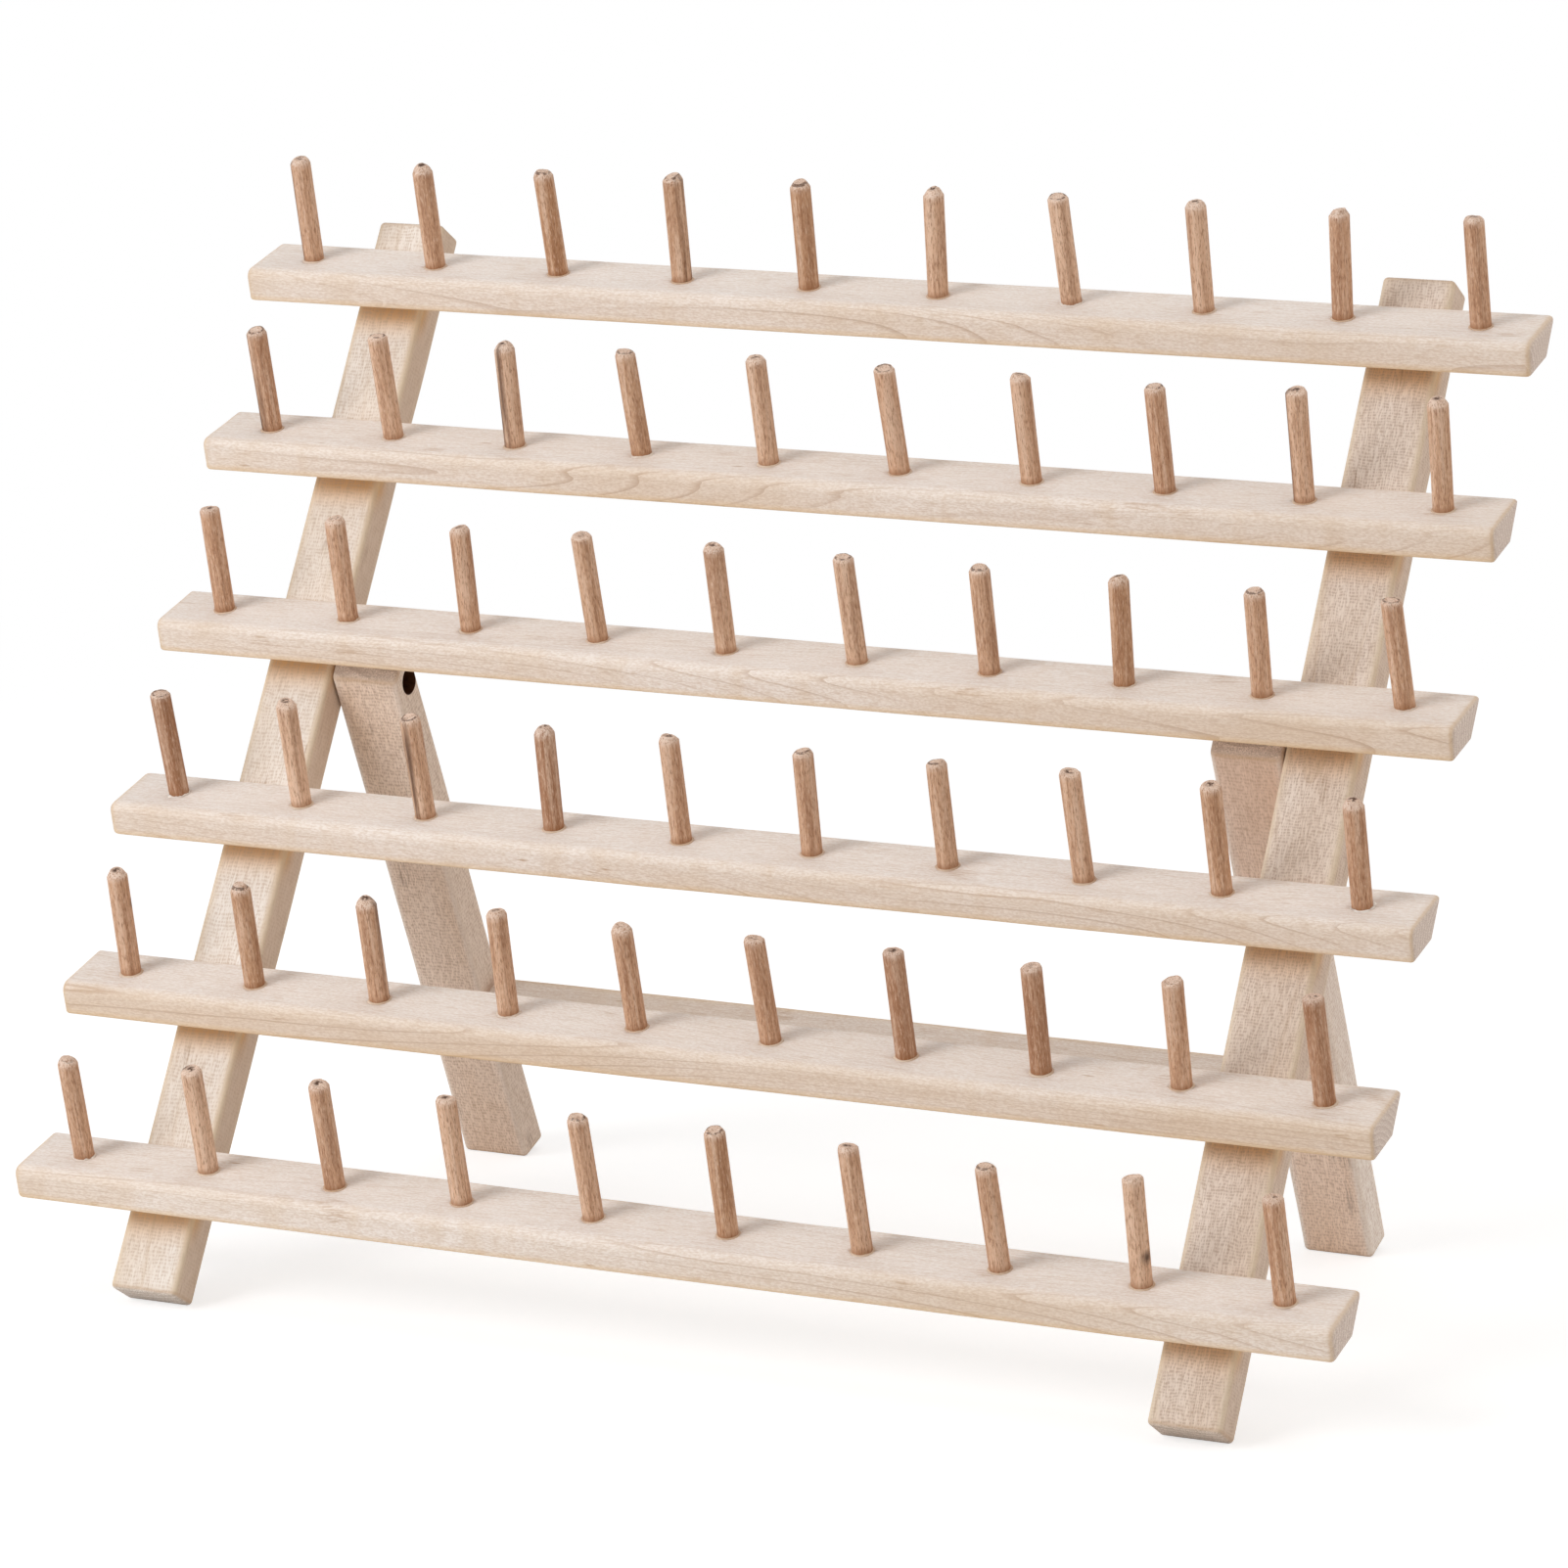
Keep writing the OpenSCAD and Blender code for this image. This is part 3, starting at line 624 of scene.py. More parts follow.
def pegTree():
    tree, add, given = newTree("pegGrowth", (
        "Diameter", "Length", "Sunk", "Lean", "Length spread", "Tilt spread", "Tip least", "Tip most",
        "Slant", "Lumps", "Fray"), "Wood")
    position = add("GeometryNodeInputPosition")
    seeds = [add("ShaderNodeMath", (given["Seed"], shift), operation="ADD") for shift in (0, 31)]
    rolls = [add("FunctionNodeRandomValue", {"Seed": seed}, data_type="FLOAT_VECTOR") for seed in seeds]
    pegs = given["Marks"]
    for name, value in (("mark", position), ("dice", rolls[0]), ("moreDice", rolls[1])):
        pegs = add("GeometryNodeStoreNamedAttribute", {"Geometry": pegs, "Name": name, "Value": value},
                   data_type="FLOAT_VECTOR", domain="POINT")
    blank = add("GeometryNodeMeshCylinder", {
        "Vertices": pegShape["around"], "Side Segments": pegShape["along"],
        "Fill Segments": pegShape["tipRings"], "Radius": 1.0, "Depth": 1.0}, fill_type="TRIANGLE_FAN")
    pegs = add("GeometryNodeInstanceOnPoints", {"Points": pegs, "Instance": blank})
    pegs = add("GeometryNodeRealizeInstances", {"Geometry": pegs})

    # place in the blank: rho from the heart to the side, up from foot to shoulder
    mark, dice, moreDice = (add("GeometryNodeInputNamedAttribute", {"Name": name}, data_type="FLOAT_VECTOR")
                            for name in ("mark", "dice", "moreDice"))
    roll, moreRoll = (add("ShaderNodeSeparateXYZ", (numbers,)).outputs for numbers in (dice, moreDice))
    fromMark = add("ShaderNodeVectorMath", (position, mark), operation="SUBTRACT")
    x, y, z = add("ShaderNodeSeparateXYZ", (fromMark,)).outputs
    up = add("ShaderNodeMath", (z, 0.5), operation="ADD")
    outward = add("ShaderNodeCombineXYZ", (x, y))
    rho = add("ShaderNodeVectorMath", (outward,), operation="LENGTH")

    # tip: cut flat over its middle, chamfered or domed to the side
    spread = add("ShaderNodeMath", (roll[0], 0.5), operation="SUBTRACT")
    length = add("ShaderNodeMath", (spread, given["Length spread"], given["Length"]),
                 operation="MULTIPLY_ADD")
    tip = add("ShaderNodeMapRange", (roll[1], 0, 1, given["Tip least"], given["Tip most"]))
    shoulder = add("ShaderNodeMath", (length, tip), operation="SUBTRACT")
    flat = add("ShaderNodeMapRange", (roll[1], 0, 1, 0.86, 0.46))
    inward = add("ShaderNodeMapRange", (rho, 1.0, flat))
    bulge = add("ShaderNodeMapRange", (roll[2], 0, 1, 0.55, 0.95))
    dome = add("ShaderNodeMath", (inward, bulge), operation="POWER")
    onTop = add("ShaderNodeMath", (up, 0.999), operation="GREATER_THAN")
    topInward = add("ShaderNodeMath", (onTop, inward), operation="MULTIPLY")
    cutWay = add("ShaderNodeCombineXYZ", (moreRoll[0], moreRoll[2]))
    cutWay = add("ShaderNodeVectorMath", (cutWay, (0.5, 0.5, 0)), operation="SUBTRACT")
    slant = add("ShaderNodeVectorMath", (outward, cutWay), operation="DOT_PRODUCT")
    foot = add("ShaderNodeMath", (given["Sunk"], -1), operation="MULTIPLY")
    height = add("ShaderNodeMapRange", (up, 0, 1, foot, shoulder))
    for rise, where, most in ((dome, onTop, tip), (slant, topInward, given["Slant"])):
        rise = add("ShaderNodeMath", (rise, where), operation="MULTIPLY")
        height = add("ShaderNodeMath", (rise, most, height), operation="MULTIPLY_ADD")

    # lumps drawn out along the peg, and fibres torn at the cut
    ownPlace = add("ShaderNodeVectorMath", {0: dice, "Scale": 40}, operation="SCALE")
    uneven = []
    for alongMm, scale in ((pegShape["lumpAlongMm"], 0.9), (pegShape["frayAlongMm"], 2.6)):
        along = add("ShaderNodeMath", (height, 1 / (alongMm * mm)), operation="MULTIPLY")
        drawn = add("ShaderNodeCombineXYZ", (x, y, along))
        spot = add("ShaderNodeVectorMath", (drawn, ownPlace), operation="ADD")
        swell = add("ShaderNodeTexNoise", {"Vector": spot, "Scale": scale, "Detail": 2})
        uneven.append(add("ShaderNodeMath", (swell, 0.5), operation="SUBTRACT"))
    lump, fray = uneven
    pastShoulder = add("ShaderNodeMath", (height, shoulder), operation="SUBTRACT")
    tipShare = add("ShaderNodeMapRange", (pastShoulder, *(edge * mm for edge in pegShape["tipFadeMm"])))
    tornSide = add("ShaderNodeMath", (fray, tipShare), operation="MULTIPLY")
    tornTop = add("ShaderNodeMath", (fray, topInward), operation="MULTIPLY")
    taperLong = add("ShaderNodeMath", (length, pegShape["taper"]), operation="MULTIPLY")
    taper = add("ShaderNodeMath", (height, taperLong), operation="DIVIDE")
    thinner = add("ShaderNodeMath", (moreRoll[2], 0.55), operation="SUBTRACT")
    radius = add("ShaderNodeMath", (thinner, taper, 1.0), operation="MULTIPLY_ADD")
    for factor in (given["Diameter"], 0.5):
        radius = add("ShaderNodeMath", (radius, factor), operation="MULTIPLY")
    for swell, most in ((lump, given["Lumps"]), (tornSide, given["Fray"])):
        radius = add("ShaderNodeMath", (swell, most, radius), operation="MULTIPLY_ADD")
    height = add("ShaderNodeMath", (tornTop, given["Fray"], height), operation="MULTIPLY_ADD")
    side = add("ShaderNodeVectorMath", {0: outward, "Scale": radius}, operation="SCALE")
    pegCo = add("ShaderNodeVectorMath", (side, add("ShaderNodeCombineXYZ", (0, 0, height))), operation="ADD")
    for name, value, kind in (("tipShare", tipShare, "FLOAT"), ("pegCo", pegCo, "FLOAT_VECTOR")):
        pegs = add("GeometryNodeStoreNamedAttribute", {"Geometry": pegs, "Name": name, "Value": value},
                   data_type=kind, domain="POINT")

    # tilt on the foot, then turn to the rail
    upright = add("GeometryNodeInputNamedAttribute", {"Name": "pegCo"}, data_type="FLOAT_VECTOR")
    otherRolls = add("ShaderNodeCombineXYZ", (roll[1], roll[2], 1))
    sway = add("ShaderNodeVectorMath", (moreDice, otherRolls), operation="ADD")
    sway = add("ShaderNodeVectorMath", (sway, (1, 1, 1)), operation="SUBTRACT")
    sway = add("ShaderNodeVectorMath", (sway, (1, 1, 0)), operation="MULTIPLY")
    aboveFoot = add("ShaderNodeSeparateXYZ", (upright,)).outputs["Z"]
    reach = add("ShaderNodeMath", (aboveFoot, given["Tilt spread"]), operation="MULTIPLY")
    sway = add("ShaderNodeVectorMath", {0: sway, "Scale": reach}, operation="SCALE")
    swayed = add("ShaderNodeVectorMath", (upright, sway), operation="ADD")
    turned = add("ShaderNodeVectorRotate", {"Vector": swayed, "Angle": given["Lean"]}, rotation_type="X_AXIS")
    placed = add("ShaderNodeVectorMath", (turned, mark), operation="ADD")
    pegs = add("GeometryNodeSetPosition", {"Geometry": pegs, "Position": placed})
    closeTree(add, pegs, pegShape["bendMost"], given["Wood"])
    return tree


# Meranti dowel, turned and left bare: reddish brown, streaked along the grain, peppered with open pores,
# each stick its own shade, paler and rough where the tip was cut.
pegLook = {"tones": ("#ac7d5d", "#c79978", "#d3a888", "#e0b99b", "#b78660"), "streak": "#885838",
           "pale": "#e9cbb3", "foot": "#96613a", "tip": "#e8d2c2", "darkening": "#4e3323", "knot": "#3c2418",
           "streakMm": 0.6, "bandMm": 1.8, "poreMm": 0.36, "raggedMm": 1.1, "footShadeMm": (2.4, 0.4),
           "craterShadeMm": (1.6, 0.7), "rimShadeMm": (2.1, 0.3), "knotMm": (2.6, 0.4), "knotUpMm": (7, 25),
           "darkMm": (2.4, 0.8), "roughness": 0.66, "bumpMm": 0.1}


def merantiDowel():
    material, add = newMaterial("turned_meranti_dowel")
    co, dice, moreDice = (add("ShaderNodeAttribute", attribute_name=name).outputs["Vector"]
                          for name in ("pegCo", "dice", "moreDice"))
    tipShare = add("ShaderNodeAttribute", attribute_name="tipShare").outputs["Fac"]
    roll, moreRoll = (add("ShaderNodeSeparateXYZ", (numbers,)).outputs for numbers in (dice, moreDice))
    ownCo = add("ShaderNodeVectorMath", (co, dice), operation="ADD")
    inMetres = {key: [size * mm for size in value] for key, value in pegLook.items()
                if key.endswith("Mm") and isinstance(value, tuple)}

    def dowelNoise(squeeze, wideMm, detail, roughness=0.5):
        along = add("ShaderNodeMapping", {"Vector": ownCo, "Scale": (1, 1, squeeze)})
        return add("ShaderNodeTexNoise", {"Vector": along, "Scale": 1 / (wideMm * mm), "Detail": detail,
                                          "Roughness": roughness})

    streaks, bands = dowelNoise(0.05, pegLook["streakMm"], 2), dowelNoise(0.05, pegLook["bandMm"], 1)
    pores = dowelNoise(0.17, pegLook["poreMm"], 2, 0.7)
    ragged = add("ShaderNodeMapRange", (dowelNoise(1, pegLook["raggedMm"], 1), 0.38, 0.56))
    colour = add("ShaderNodeValToRGB", (roll[0],))
    tones, ramp = pegLook["tones"], colour.color_ramp.elements
    while len(ramp) < len(tones):
        ramp.new(0.5)
    for i, tone in enumerate(tones):
        ramp[i].position = i / (len(tones) - 1)
        ramp[i].color = linear(tone)
    up = add("ShaderNodeSeparateXYZ", (co,)).outputs["Z"]
    for pattern, low, high, most, tone in (
            (streaks, 0.52, 0.66, 0.34, "streak"), (streaks, 0.47, 0.34, 0.24, "pale"),
            (bands, 0.5, 0.7, 0.42, "streak"), (bands, 0.48, 0.3, 0.42, "pale"),
            (pores, 0.52, 0.66, 0.64, "streak"), (pores, 0.45, 0.3, 0.5, "pale"),
            (up, *inMetres["footShadeMm"], 0.6, "foot")):        # painted shade: the foot turns honey brown where the peg meets the rail
        colour = layered(add, colour, (shareOf(add, (pattern, low, high, 0, most)), pegLook[tone]))

    # tip: pale torn fibres; painted shade for a small crater, a ragged dark patch in the middle of more than half
    # of them; on some of the others a dark painted-shade rim standing in for a crisp chamfer edge
    torn = shareOf(add, (pores, 0.4, 0.68))
    tipTone = layered(add, pegLook["tip"], (torn, colour))
    outward = add("ShaderNodeMapping", {"Vector": co, "Scale": (1, 1, 0)})
    fromAxis = add("ShaderNodeVectorMath", (outward,), operation="LENGTH")
    darkening = shareOf(add, (fromAxis, *inMetres["craterShadeMm"]), ragged, (moreRoll[1], 0.35, 0.5), tipShare)
    rimShade = add("ShaderNodeMath", (fromAxis, *inMetres["rimShadeMm"]), operation="COMPARE")
    rimShade = shareOf(add, rimShade, (moreRoll[1], 0.4, 0.25, 0, 0.75), tipShare, ragged)

    # a small knot in the side of the odd peg, and a dark streak down another few
    turn = add("ShaderNodeMath", (moreRoll[0], 2 * math.pi), operation="MULTIPLY")
    side = add("ShaderNodeVectorRotate", {"Vector": (peg["diameter"] / 2 * mm, 0, 0), "Angle": turn},
               rotation_type="Z_AXIS")
    knotUp = add("ShaderNodeMapRange", (moreRoll[2], 0, 1, *inMetres["knotUpMm"]))
    aboveFoot = add("ShaderNodeCombineXYZ", (0, 0, knotUp))
    knotSpot = add("ShaderNodeVectorMath", (side, aboveFoot), operation="ADD")
    toKnot = add("ShaderNodeVectorMath", (co, knotSpot), operation="DISTANCE")
    toSide = add("ShaderNodeVectorMath", (outward, side), operation="DISTANCE")
    odd, few = (add("ShaderNodeMath", (number, least), operation="GREATER_THAN")
                for number, least in ((roll[2], 0.96), (moreRoll[2], 0.9)))
    knot = shareOf(add, (toKnot, *inMetres["knotMm"], 0, 0.85), odd)
    dark = shareOf(add, (toSide, *inMetres["darkMm"]), few, (bands, 0.35, 0.6, 0, 0.8))
    colour = layered(add, colour, (shareOf(add, tipShare, 0.85), tipTone), (darkening, pegLook["darkening"]),
                     (rimShade, pegLook["darkening"]), (knot, pegLook["knot"]), (dark, pegLook["darkening"]))
    height = add("ShaderNodeMath", (pores, 0.7, streaks), operation="MULTIPLY_ADD")
    surfaced(add, colour, height, 0.8, pegLook["bumpMm"], {**bareWood, "Roughness": pegLook["roughness"]})
    return material


pegSpots = [(railFrames[row] @ mark, (0, 0, 1)) for row in rows for mark in pegMarks[row]]
pegs = growFrom("pegs", pegSpots, pegTree(), {
    "Diameter": peg["diameter"] * mm, "Length": peg["out"] * mm, "Sunk": peg["sunk"] * mm, "Lean": pegLean,
    "Length spread": pegShape["lengthSpreadMm"] * mm, "Tilt spread": math.radians(pegShape["tiltSpread"]),
    "Tip least": pegShape["tipMinMm"] * mm, "Tip most": pegShape["tipMaxMm"] * mm,
    "Slant": pegShape["slantMm"] * mm, "Lumps": pegShape["lumpMm"] * mm, "Fray": pegShape["frayMm"] * mm,
    "Seed": peg["seed"], "Wood": merantiDowel()})
finishPiece(pegs, "front_frame", "peg_wood", *["pegs_rail_%d" % row for row in rows])
print("pegs grown,", len(pegs.data.polygons), "faces")

# Glue: a thin bead squeezed out round each peg's foot
glue = {"radius": 3.05, "beadMm": 0.5, "around": 28, "beadSides": 6, "flatter": 0.7, "lumpMm": 0.5,
        "lumpAlongMm": 1.5, "bendMost": math.pi, "seed": 21}


def glueTree():
    tree, add, given = newTree("glueBeads", ("Radius", "Bead", "Lean", "Lumps"), "Glue")
    path, bead = (add("GeometryNodeCurvePrimitiveCircle", {"Resolution": count, "Radius": radius},
                      mode="RADIUS") for count, radius in ((glue["around"], given["Radius"]),
                                                           (glue["beadSides"], given["Bead"])))
    ring = add("GeometryNodeCurveToMesh", {"Curve": path, "Profile Curve": bead})
    turn = add("FunctionNodeEulerToRotation", (add("ShaderNodeCombineXYZ", (given["Lean"],)),))
    rolls = add("FunctionNodeRandomValue", {"Seed": given["Seed"]}, data_type="FLOAT")
    few = add("ShaderNodeMath", (rolls, 6.0), operation="POWER")
    marks = add("GeometryNodeStoreNamedAttribute", {
        "Geometry": given["Marks"], "Name": "squeezed", "Value": few}, data_type="FLOAT", domain="POINT")
    beads = add("GeometryNodeInstanceOnPoints", {"Points": marks, "Instance": ring, "Rotation": turn,
                                                 "Scale": (1, 1, glue["flatter"])})
    beads = add("GeometryNodeRealizeInstances", {"Geometry": beads})
    lumps = add("ShaderNodeTexNoise", {"Vector": add("GeometryNodeInputPosition"),
                                       "Scale": 1 / (glue["lumpAlongMm"] * mm), "Detail": 2})
    lumps = add("ShaderNodeMath", (lumps, 0.52), operation="SUBTRACT")
    squeezed = add("GeometryNodeInputNamedAttribute", {"Name": "squeezed"}, data_type="FLOAT")
    swell = add("ShaderNodeMath", (squeezed, 5.0, 1.0), operation="MULTIPLY_ADD")
    for factor in (given["Lumps"], lumps):
        swell = add("ShaderNodeMath", (swell, factor), operation="MULTIPLY")
    push = add("ShaderNodeVectorMath", {0: add("GeometryNodeInputNormal"), "Scale": swell}, operation="SCALE")
    beads = add("GeometryNodeSetPosition", {"Geometry": beads, "Offset": push})
    closeTree(add, beads, glue["bendMost"], given["Glue"])
    return tree


# Dried wood glue with sanding dust in it: pale cream here, honey brown there, with a slight sheen.
glueLook = {"cream": "#dcc6ae", "honey": "#b4855a", "dust": "#d8c2ab", "thick": "#f1e9e0", "patchMm": 9,
            "dustMm": 0.4, "bumpMm": 0.08, "roughness": 0.5}


def dustyGlue():
    material, add = newMaterial("dried_glue_with_dust")
    co = add("ShaderNodeTexCoord").outputs["Object"]
    patch, dust = (add("ShaderNodeTexNoise", {"Vector": co, "Scale": 1 / (glueLook[size] * mm), "Detail": 2})
                   for size in ("patchMm", "dustMm"))
    squeezed = add("ShaderNodeAttribute", attribute_name="squeezed").outputs["Fac"]
    colour = layered(add, glueLook["cream"], (shareOf(add, (patch, 0.38, 0.58)), glueLook["honey"]),
                     (dust, glueLook["dust"]), (squeezed, glueLook["thick"]))
    surfaced(add, colour, dust, 0.5, glueLook["bumpMm"], {"Roughness": glueLook["roughness"]})
    return material


beads = growFrom("glueBeads", pegSpots, glueTree(), {
    "Radius": glue["radius"] * mm, "Bead": glue["beadMm"] * mm, "Lean": pegLean, "Lumps": glue["lumpMm"] * mm,
    "Seed": glue["seed"], "Glue": dustyGlue()})
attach(beads, "front_frame")
print("glue beads set")

# Screws: a lathed blank with a head, a wound thread and a point, and a cross cut in the head
screwShape = {"around": 24, "along": 80, "threadDepth": 0.22, "pitchMm": 1.4, "crossLong": 1.15,
              "crossWide": 0.28, "crossDeepMm": 1.3, "tipMm": 0.05, "bendMost": 0.6}


def screwTree():
    tree, add, given = newTree("screws", (
        "Head radius", "Shank radius", "Length", "Cone", "Head wall", "Dome", "Point", "Pitch", "Thread",
        "Cross"), "Steel")
    blank = add("GeometryNodeMeshCylinder", {
        "Vertices": screwShape["around"], "Side Segments": screwShape["along"], "Radius": 1.0, "Depth": 1.0},
        fill_type="NGON")
    x, y, up = add("ShaderNodeSeparateXYZ", (add("GeometryNodeInputPosition"),)).outputs
    top = add("ShaderNodeMath", (given["Head wall"], given["Dome"]), operation="ADD")
    tail, coneEnd = (add("ShaderNodeMath", (given[size], -1), operation="MULTIPLY")
                     for size in ("Length", "Cone"))
    # rings lie closer together in the head
    fromTop = add("ShaderNodeMath", (0.5, up), operation="SUBTRACT")
    fromTop = add("ShaderNodeMath", (fromTop, 1.4), operation="POWER")
    z = add("ShaderNodeMapRange", (fromTop, 0, 1, top, tail))

    # thread: a wound ridge below the cone
    turns = add("ShaderNodeMath", (z, given["Pitch"]), operation="DIVIDE")
    wind = add("ShaderNodeMath", (y, x), operation="ARCTAN2")
    crest = add("ShaderNodeMath", (wind, 0.5 / math.pi, turns), operation="MULTIPLY_ADD")
    crest = add("ShaderNodeMath", (crest, 0.5), operation="PINGPONG")
    plainEnd = add("ShaderNodeMath", (given["Pitch"], -1.5, coneEnd), operation="MULTIPLY_ADD")
    threaded = add("ShaderNodeMath", (z, plainEnd), operation="LESS_THAN")
    thread = shareOf(add, crest, given["Thread"], threaded)
    shank = add("ShaderNodeMath", (1.0, thread), operation="SUBTRACT")
    shank = add("ShaderNodeMath", (given["Shank radius"], shank), operation="MULTIPLY")

    # outline: cone or shoulder under the head, then whichever of it, the dome and the point is thinner
    headLine = add("ShaderNodeMapRange", (z, coneEnd, 0.0, given["Shank radius"], given["Head radius"]))
    topRadius = add("ShaderNodeMath", (given["Head radius"], given["Dome"]), operation="SUBTRACT")
    topLine = add("ShaderNodeMapRange", (z, given["Head wall"], top, given["Head radius"], topRadius))
    pointTop = add("ShaderNodeMath", (tail, given["Point"]), operation="ADD")
    pointLine = add("ShaderNodeMapRange", (z, tail, pointTop, screwShape["tipMm"] * mm, given["Head radius"]))
    neck = add("ShaderNodeMath", (z, coneEnd), operation="LESS_THAN")
    radius = add("ShaderNodeMix", {0: neck, 2: headLine, 3: shank}, data_type="FLOAT")
    for line in (topLine, pointLine):
        radius = add("ShaderNodeMath", (radius, line), operation="MINIMUM")
    outward = add("ShaderNodeCombineXYZ", (x, y))
    side = add("ShaderNodeVectorMath", {0: outward, "Scale": radius}, operation="SCALE")
    spot = add("ShaderNodeVectorMath", (side, add("ShaderNodeCombineXYZ", (0, 0, z))), operation="ADD")
    made = add("GeometryNodeSetPosition", {"Geometry": blank, "Position": spot})

    # cross: two slots through the head
    armLong, armWide = (add("ShaderNodeMath", (given["Head radius"], screwShape[share]), operation="MULTIPLY")
                        for share in ("crossLong", "crossWide"))
    armDeep = add("ShaderNodeMath", (given["Cross"], 2.0), operation="MULTIPLY")
    atTop = add("ShaderNodeCombineXYZ", (0, 0, top))
    for sizes in ((armLong, armWide, armDeep), (armWide, armLong, armDeep)):
        arm = add("GeometryNodeMeshCube", {"Size": add("ShaderNodeCombineXYZ", sizes)})
        arm = add("GeometryNodeTransform", {"Geometry": arm, "Translation": atTop})
        made = add("GeometryNodeMeshBoolean", {"Mesh 1": made, "Mesh 2": arm}, operation="DIFFERENCE",
                   solver="EXACT")
    facing = add("GeometryNodeInputNamedAttribute", {"Name": "facing"}, data_type="FLOAT_VECTOR")
    aim = add("FunctionNodeAlignRotationToVector", {"Vector": facing}, axis="Z")
    spin = add("FunctionNodeRandomValue", {2: 0.0, 3: math.pi, "Seed": given["Seed"]}, data_type="FLOAT")
    spin = add("FunctionNodeAxisAngleToRotation", {"Axis": (0, 0, 1), "Angle": spin})
    aim = add("FunctionNodeRotateRotation", {"Rotation": aim, "Rotate By": spin}, rotation_space="LOCAL")
    screws = add("GeometryNodeInstanceOnPoints", {
        "Points": given["Marks"], "Instance": made, "Rotation": aim})
    screws = add("GeometryNodeRealizeInstances", {"Geometry": screws})
    closeTree(add, screws, screwShape["bendMost"], given["Steel"])
    return tree


# Screw steel: bright zinc has soft cloudy grey crystals, black oxide is nearly black with rubbed high spots.
steel = {"zinc_plated_steel": {"dark": "#8d8f92", "light": "#c2c3c4", "roughness": 0.38},
         "black_oxide_steel": {"dark": "#141312", "light": "#2b2826", "roughness": 0.36},
         "cloudMm": 1.5, "roughSpread": 0.1, "bumpMm": 0.02}


def screwSteel(name):
    material, add = newMaterial(name)
    look = steel[name]
    co = add("ShaderNodeTexCoord").outputs["Object"]
    cloud = add("ShaderNodeTexNoise", {"Vector": co, "Scale": 1 / (steel["cloudMm"] * mm), "Detail": 4})
    rough = add("ShaderNodeMapRange", (cloud, 0, 1, look["roughness"] - steel["roughSpread"],
                                       look["roughness"] + steel["roughSpread"]))
    surfaced(add, layered(add, look["dark"], (cloud, look["light"])), cloud, 0.3, steel["bumpMm"],
             {"Roughness": rough, "Metallic": 1.0})
    return material


zinc, blackOxide = screwSteel("zinc_plated_steel"), screwSteel("black_oxide_steel")
screws = screwTree()
woodScrew = {"Head radius": screw["headR"] * mm, "Shank radius": screw["shankR"] * mm,
             "Cone": screw["cone"] * mm, "Head wall": 0.0, "Dome": screw["dome"] * mm,
             "Point": screw["point"] * mm,
             "Pitch": screwShape["pitchMm"] * mm, "Thread": screwShape["threadDepth"],
             "Cross": screwShape["crossDeepMm"] * mm, "Seed": screw["seed"], "Steel": zinc}
pivotScrew = {**woodScrew, "Head radius": pivot["headR"] * mm, "Shank radius": pivot["shankR"] * mm,
              "Cone": pivot["cone"] * mm, "Head wall": pivot["headH"] / 2 * mm,
              "Dome": pivot["headH"] / 2 * mm, "Length": pivot["long"] * mm,
              "Seed": pivot["seed"], "Steel": blackOxide}
toBack = standing.to_3x3() @ Vector((0, 1, 0))
heads = [(standing @ Vector((side * (legInner + legOuter) / 2, rack["legThick"] - screw["sinkMm"],
                             under + screw["rise"])), toBack)
         for side in sides.values() for under in railUnders]
railScrews = growFrom("railScrews", heads, screws, {**woodScrew, "Length": screw["railLong"] * mm})
finishPiece(railScrews, "front_frame", "screw_steel", "rail_screws_left", "rail_screws_right")
heads = [(standFrame @ (barMiddle + Vector((side * (backOuter - screw["sinkMm"]), 0, 0))), (side, 0, 0))
         for side in sides.values()]
barScrews = growFrom("crossbarScrews", heads, screws, {**woodScrew, "Length": screw["barLong"] * mm})
finishPiece(barScrews, "back_stand", "screw_steel", "crossbar_screw_left", "crossbar_screw_right")
seats = [(standFrame @ Vector((side * (backInner + pivot["bore"] - pivot["play"]), 0, 0)), (-side, 0, 0))
         for side in sides.values()]
pivotScrews = growFrom("pivotScrews", seats, screws, pivotScrew)
finishPiece(pivotScrews, "front_frame", "pivot_steel", "pivot_screw_left", "pivot_screw_right")
print("screws driven")

# Soft studio light and a white floor that keeps the rack's shadow, in metres
lights = {
    "key": {"spot": (-1.1, -1.7, 1.5), "size": 1.0, "watts": 21.2, "tone": "#ffffff"},
    "lowLeft": {"spot": (-0.85, -0.9, 0.3), "size": 0.8, "watts": 4.5, "tone": "#eef6ff"},
    "fill": {"spot": (1.6, -0.9, 0.9), "size": 1.2, "watts": 3.4, "tone": "#fff4e6"},
    "rightBack": {"spot": (1.5, 0.7, 0.7), "size": 1.0, "watts": 5.2, "tone": "#fff4e6"},
    "top": {"spot": (0.1, 0.1, 1.9), "size": 1.6, "watts": 9.2, "tone": "#ffffff"},
}
studio = {"aim": (0, 0, 0.14), "worldLevel": 0.31}
for name, setting in lights.items():
    lamp = bpy.data.lights.new(name, "AREA")
    lamp.energy, lamp.size, lamp.color = setting["watts"], setting["size"], linear(setting["tone"])[:3]
    holder = bpy.data.objects.new(name, lamp)
    holder.location = setting["spot"]
    holder.rotation_euler = (Vector(studio["aim"]) - holder.location).to_track_quat("-Z", "Y").to_euler()
    scene.collection.objects.link(holder)


def seenRays(add):
    # 1 for rays that show the backdrop itself, 0 for rays that carry its light to the rack
    path = add("ShaderNodeLightPath").outputs
    seen = path["Is Camera Ray"]
    for other in ("Is Glossy Ray", "Is Transmission Ray"):
        seen = add("ShaderNodeMath", (seen, path[other]), operation="MAXIMUM")
    return seen


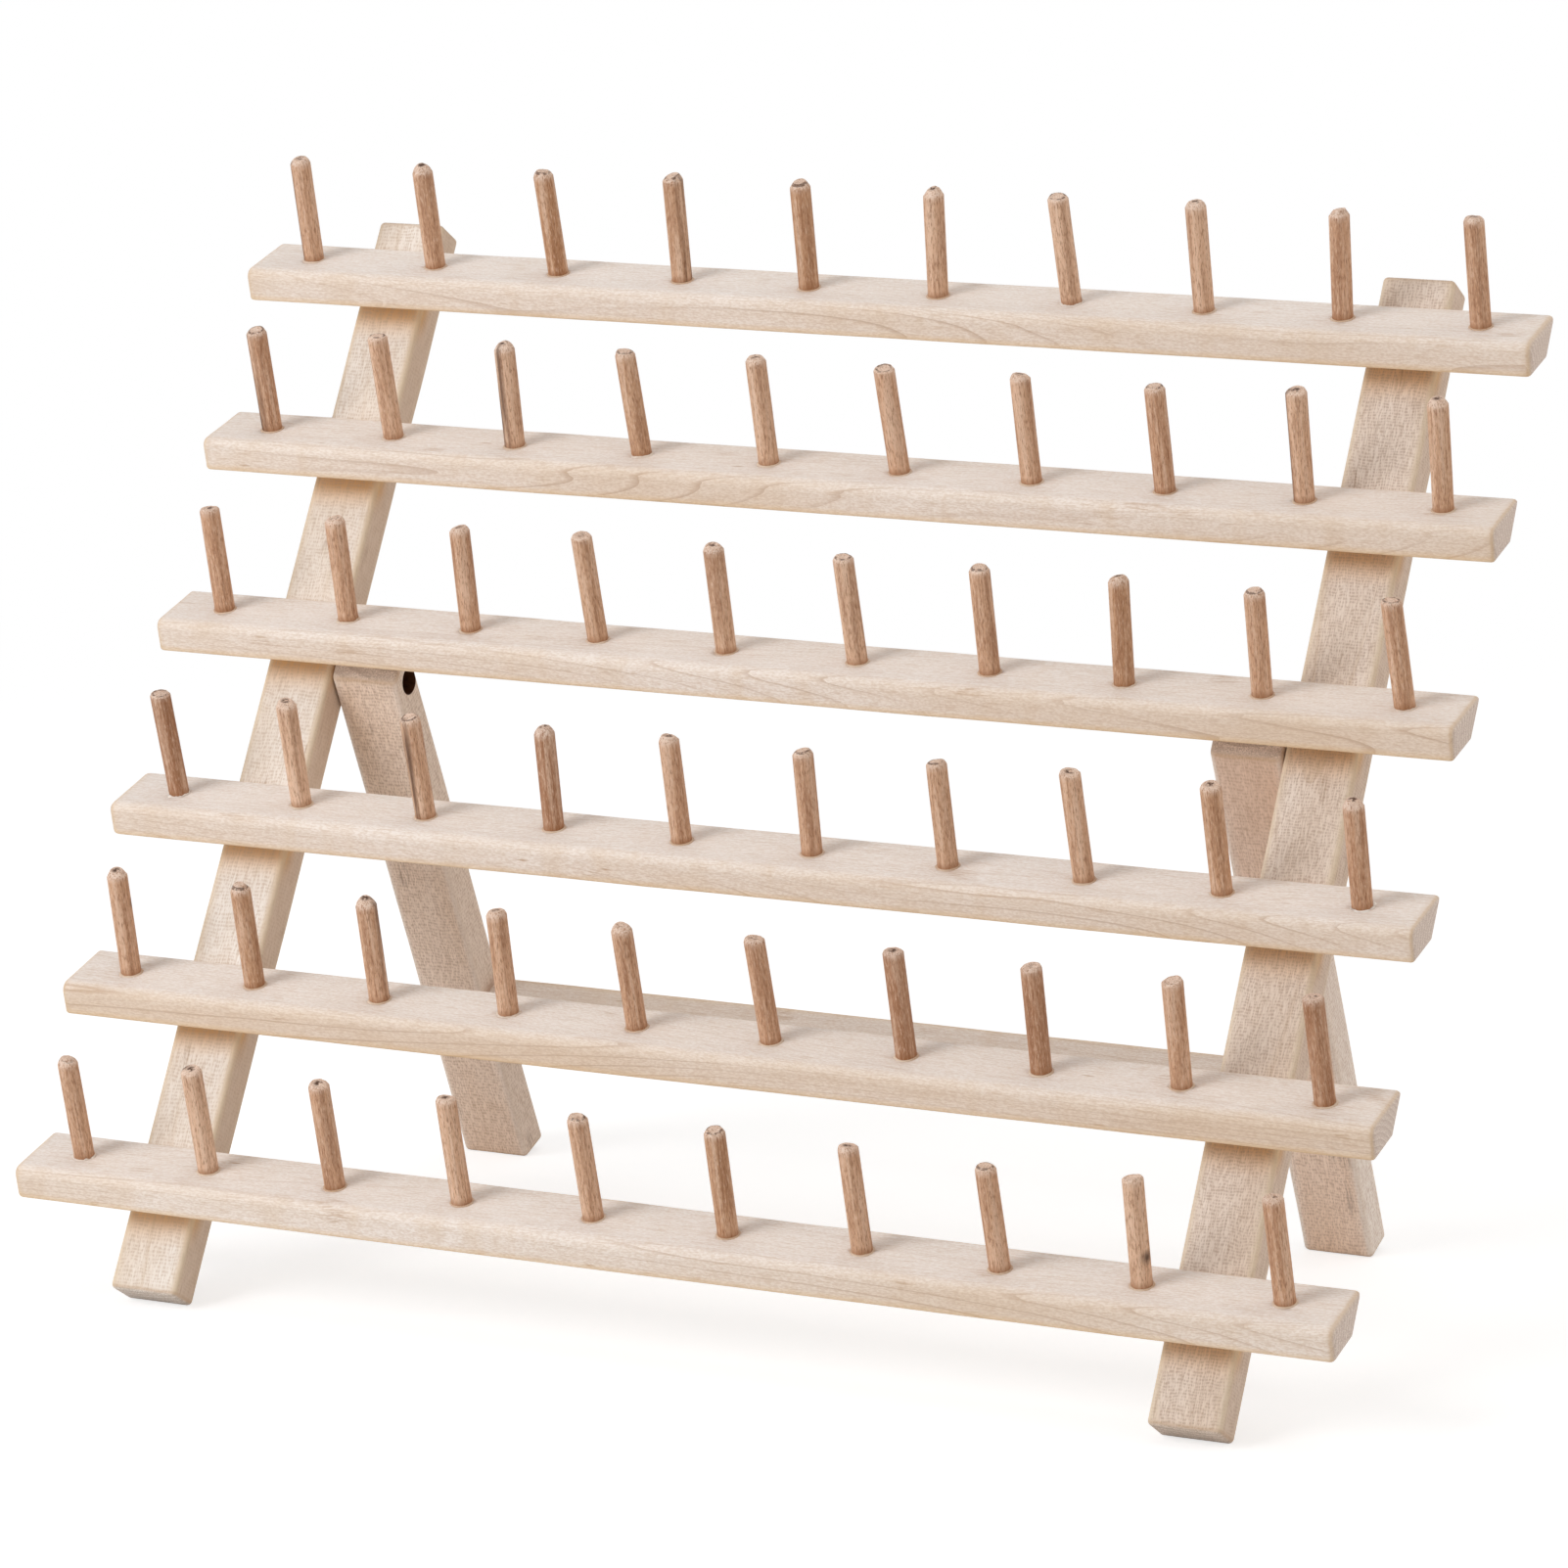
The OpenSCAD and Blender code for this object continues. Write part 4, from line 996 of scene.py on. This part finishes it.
world = bpy.data.worlds.new("studio")
scene.world = world
world.use_nodes = True
world.node_tree.nodes.clear()
add = partial(addNode, world.node_tree)
level = add("ShaderNodeMapRange", (seenRays(add), 0, 1, studio["worldLevel"], 1.0))
sky = add("ShaderNodeBackground", {"Color": linear("#ffffff"), "Strength": level})
add("ShaderNodeOutputWorld", {"Surface": sky})

floor = {"half": 8, "tone": "#f0efee", "seenTone": "#c4c4c4", "lift": 0.64, "near": 0.4, "far": 1.0}
mesh = bpy.data.meshes.new("floor")
corners = [(x * floor["half"], y * floor["half"], 0) for x, y in ((-1, -1), (1, -1), (1, 1), (-1, 1))]
mesh.from_pydata(corners, [], [(0, 1, 2, 3)])
floorPiece = bpy.data.objects.new("floor", mesh)
scene.collection.objects.link(floorPiece)
# matt white paper: it shows the shadow near the rack and is plain white further off
paper, add = newMaterial("white_paper_sweep")
fromRack = add("ShaderNodeVectorMath", (add("ShaderNodeTexCoord").outputs["Object"],), operation="LENGTH")
away = add("ShaderNodeMapRange", (fromRack, floor["near"], floor["far"]), interpolation_type="SMOOTHSTEP")
sheet, seenSheet = (add("ShaderNodeBsdfDiffuse", {"Color": linear(floor[tone])})
                    for tone in ("tone", "seenTone"))
lift, white = (add("ShaderNodeEmission", {"Color": linear("#ffffff"), "Strength": strength})
               for strength in (floor["lift"], 1.0))
shown = add("ShaderNodeMixShader", (away, add("ShaderNodeAddShader", (seenSheet, lift)), white))
add("ShaderNodeOutputMaterial", {"Surface": add("ShaderNodeMixShader", (seenRays(add), sheet, shown))})
mesh.materials.append(paper)

# Camera at the photograph's angle
view = {"spot": (0.788065, -1.667843, 0.590377), "look": (-0.415063, 0.879338, -0.233427),
        "right": (0.905994, 0.422915, -0.01782), "lensMm": 153.112, "sensorMm": 36}
camera = bpy.data.objects.new("camera", bpy.data.cameras.new("camera"))
camera.data.lens, camera.data.sensor_width = view["lensMm"], view["sensorMm"]
look = Vector(view["look"]).normalized()
right = (Vector(view["right"]) - look * look.dot(Vector(view["right"]))).normalized()
turn = Matrix((right, right.cross(look), -look)).transposed()
camera.matrix_world = Matrix.Translation(view["spot"]) @ turn.to_4x4()
scene.collection.objects.link(camera)
scene.camera = camera
print("light and camera set")
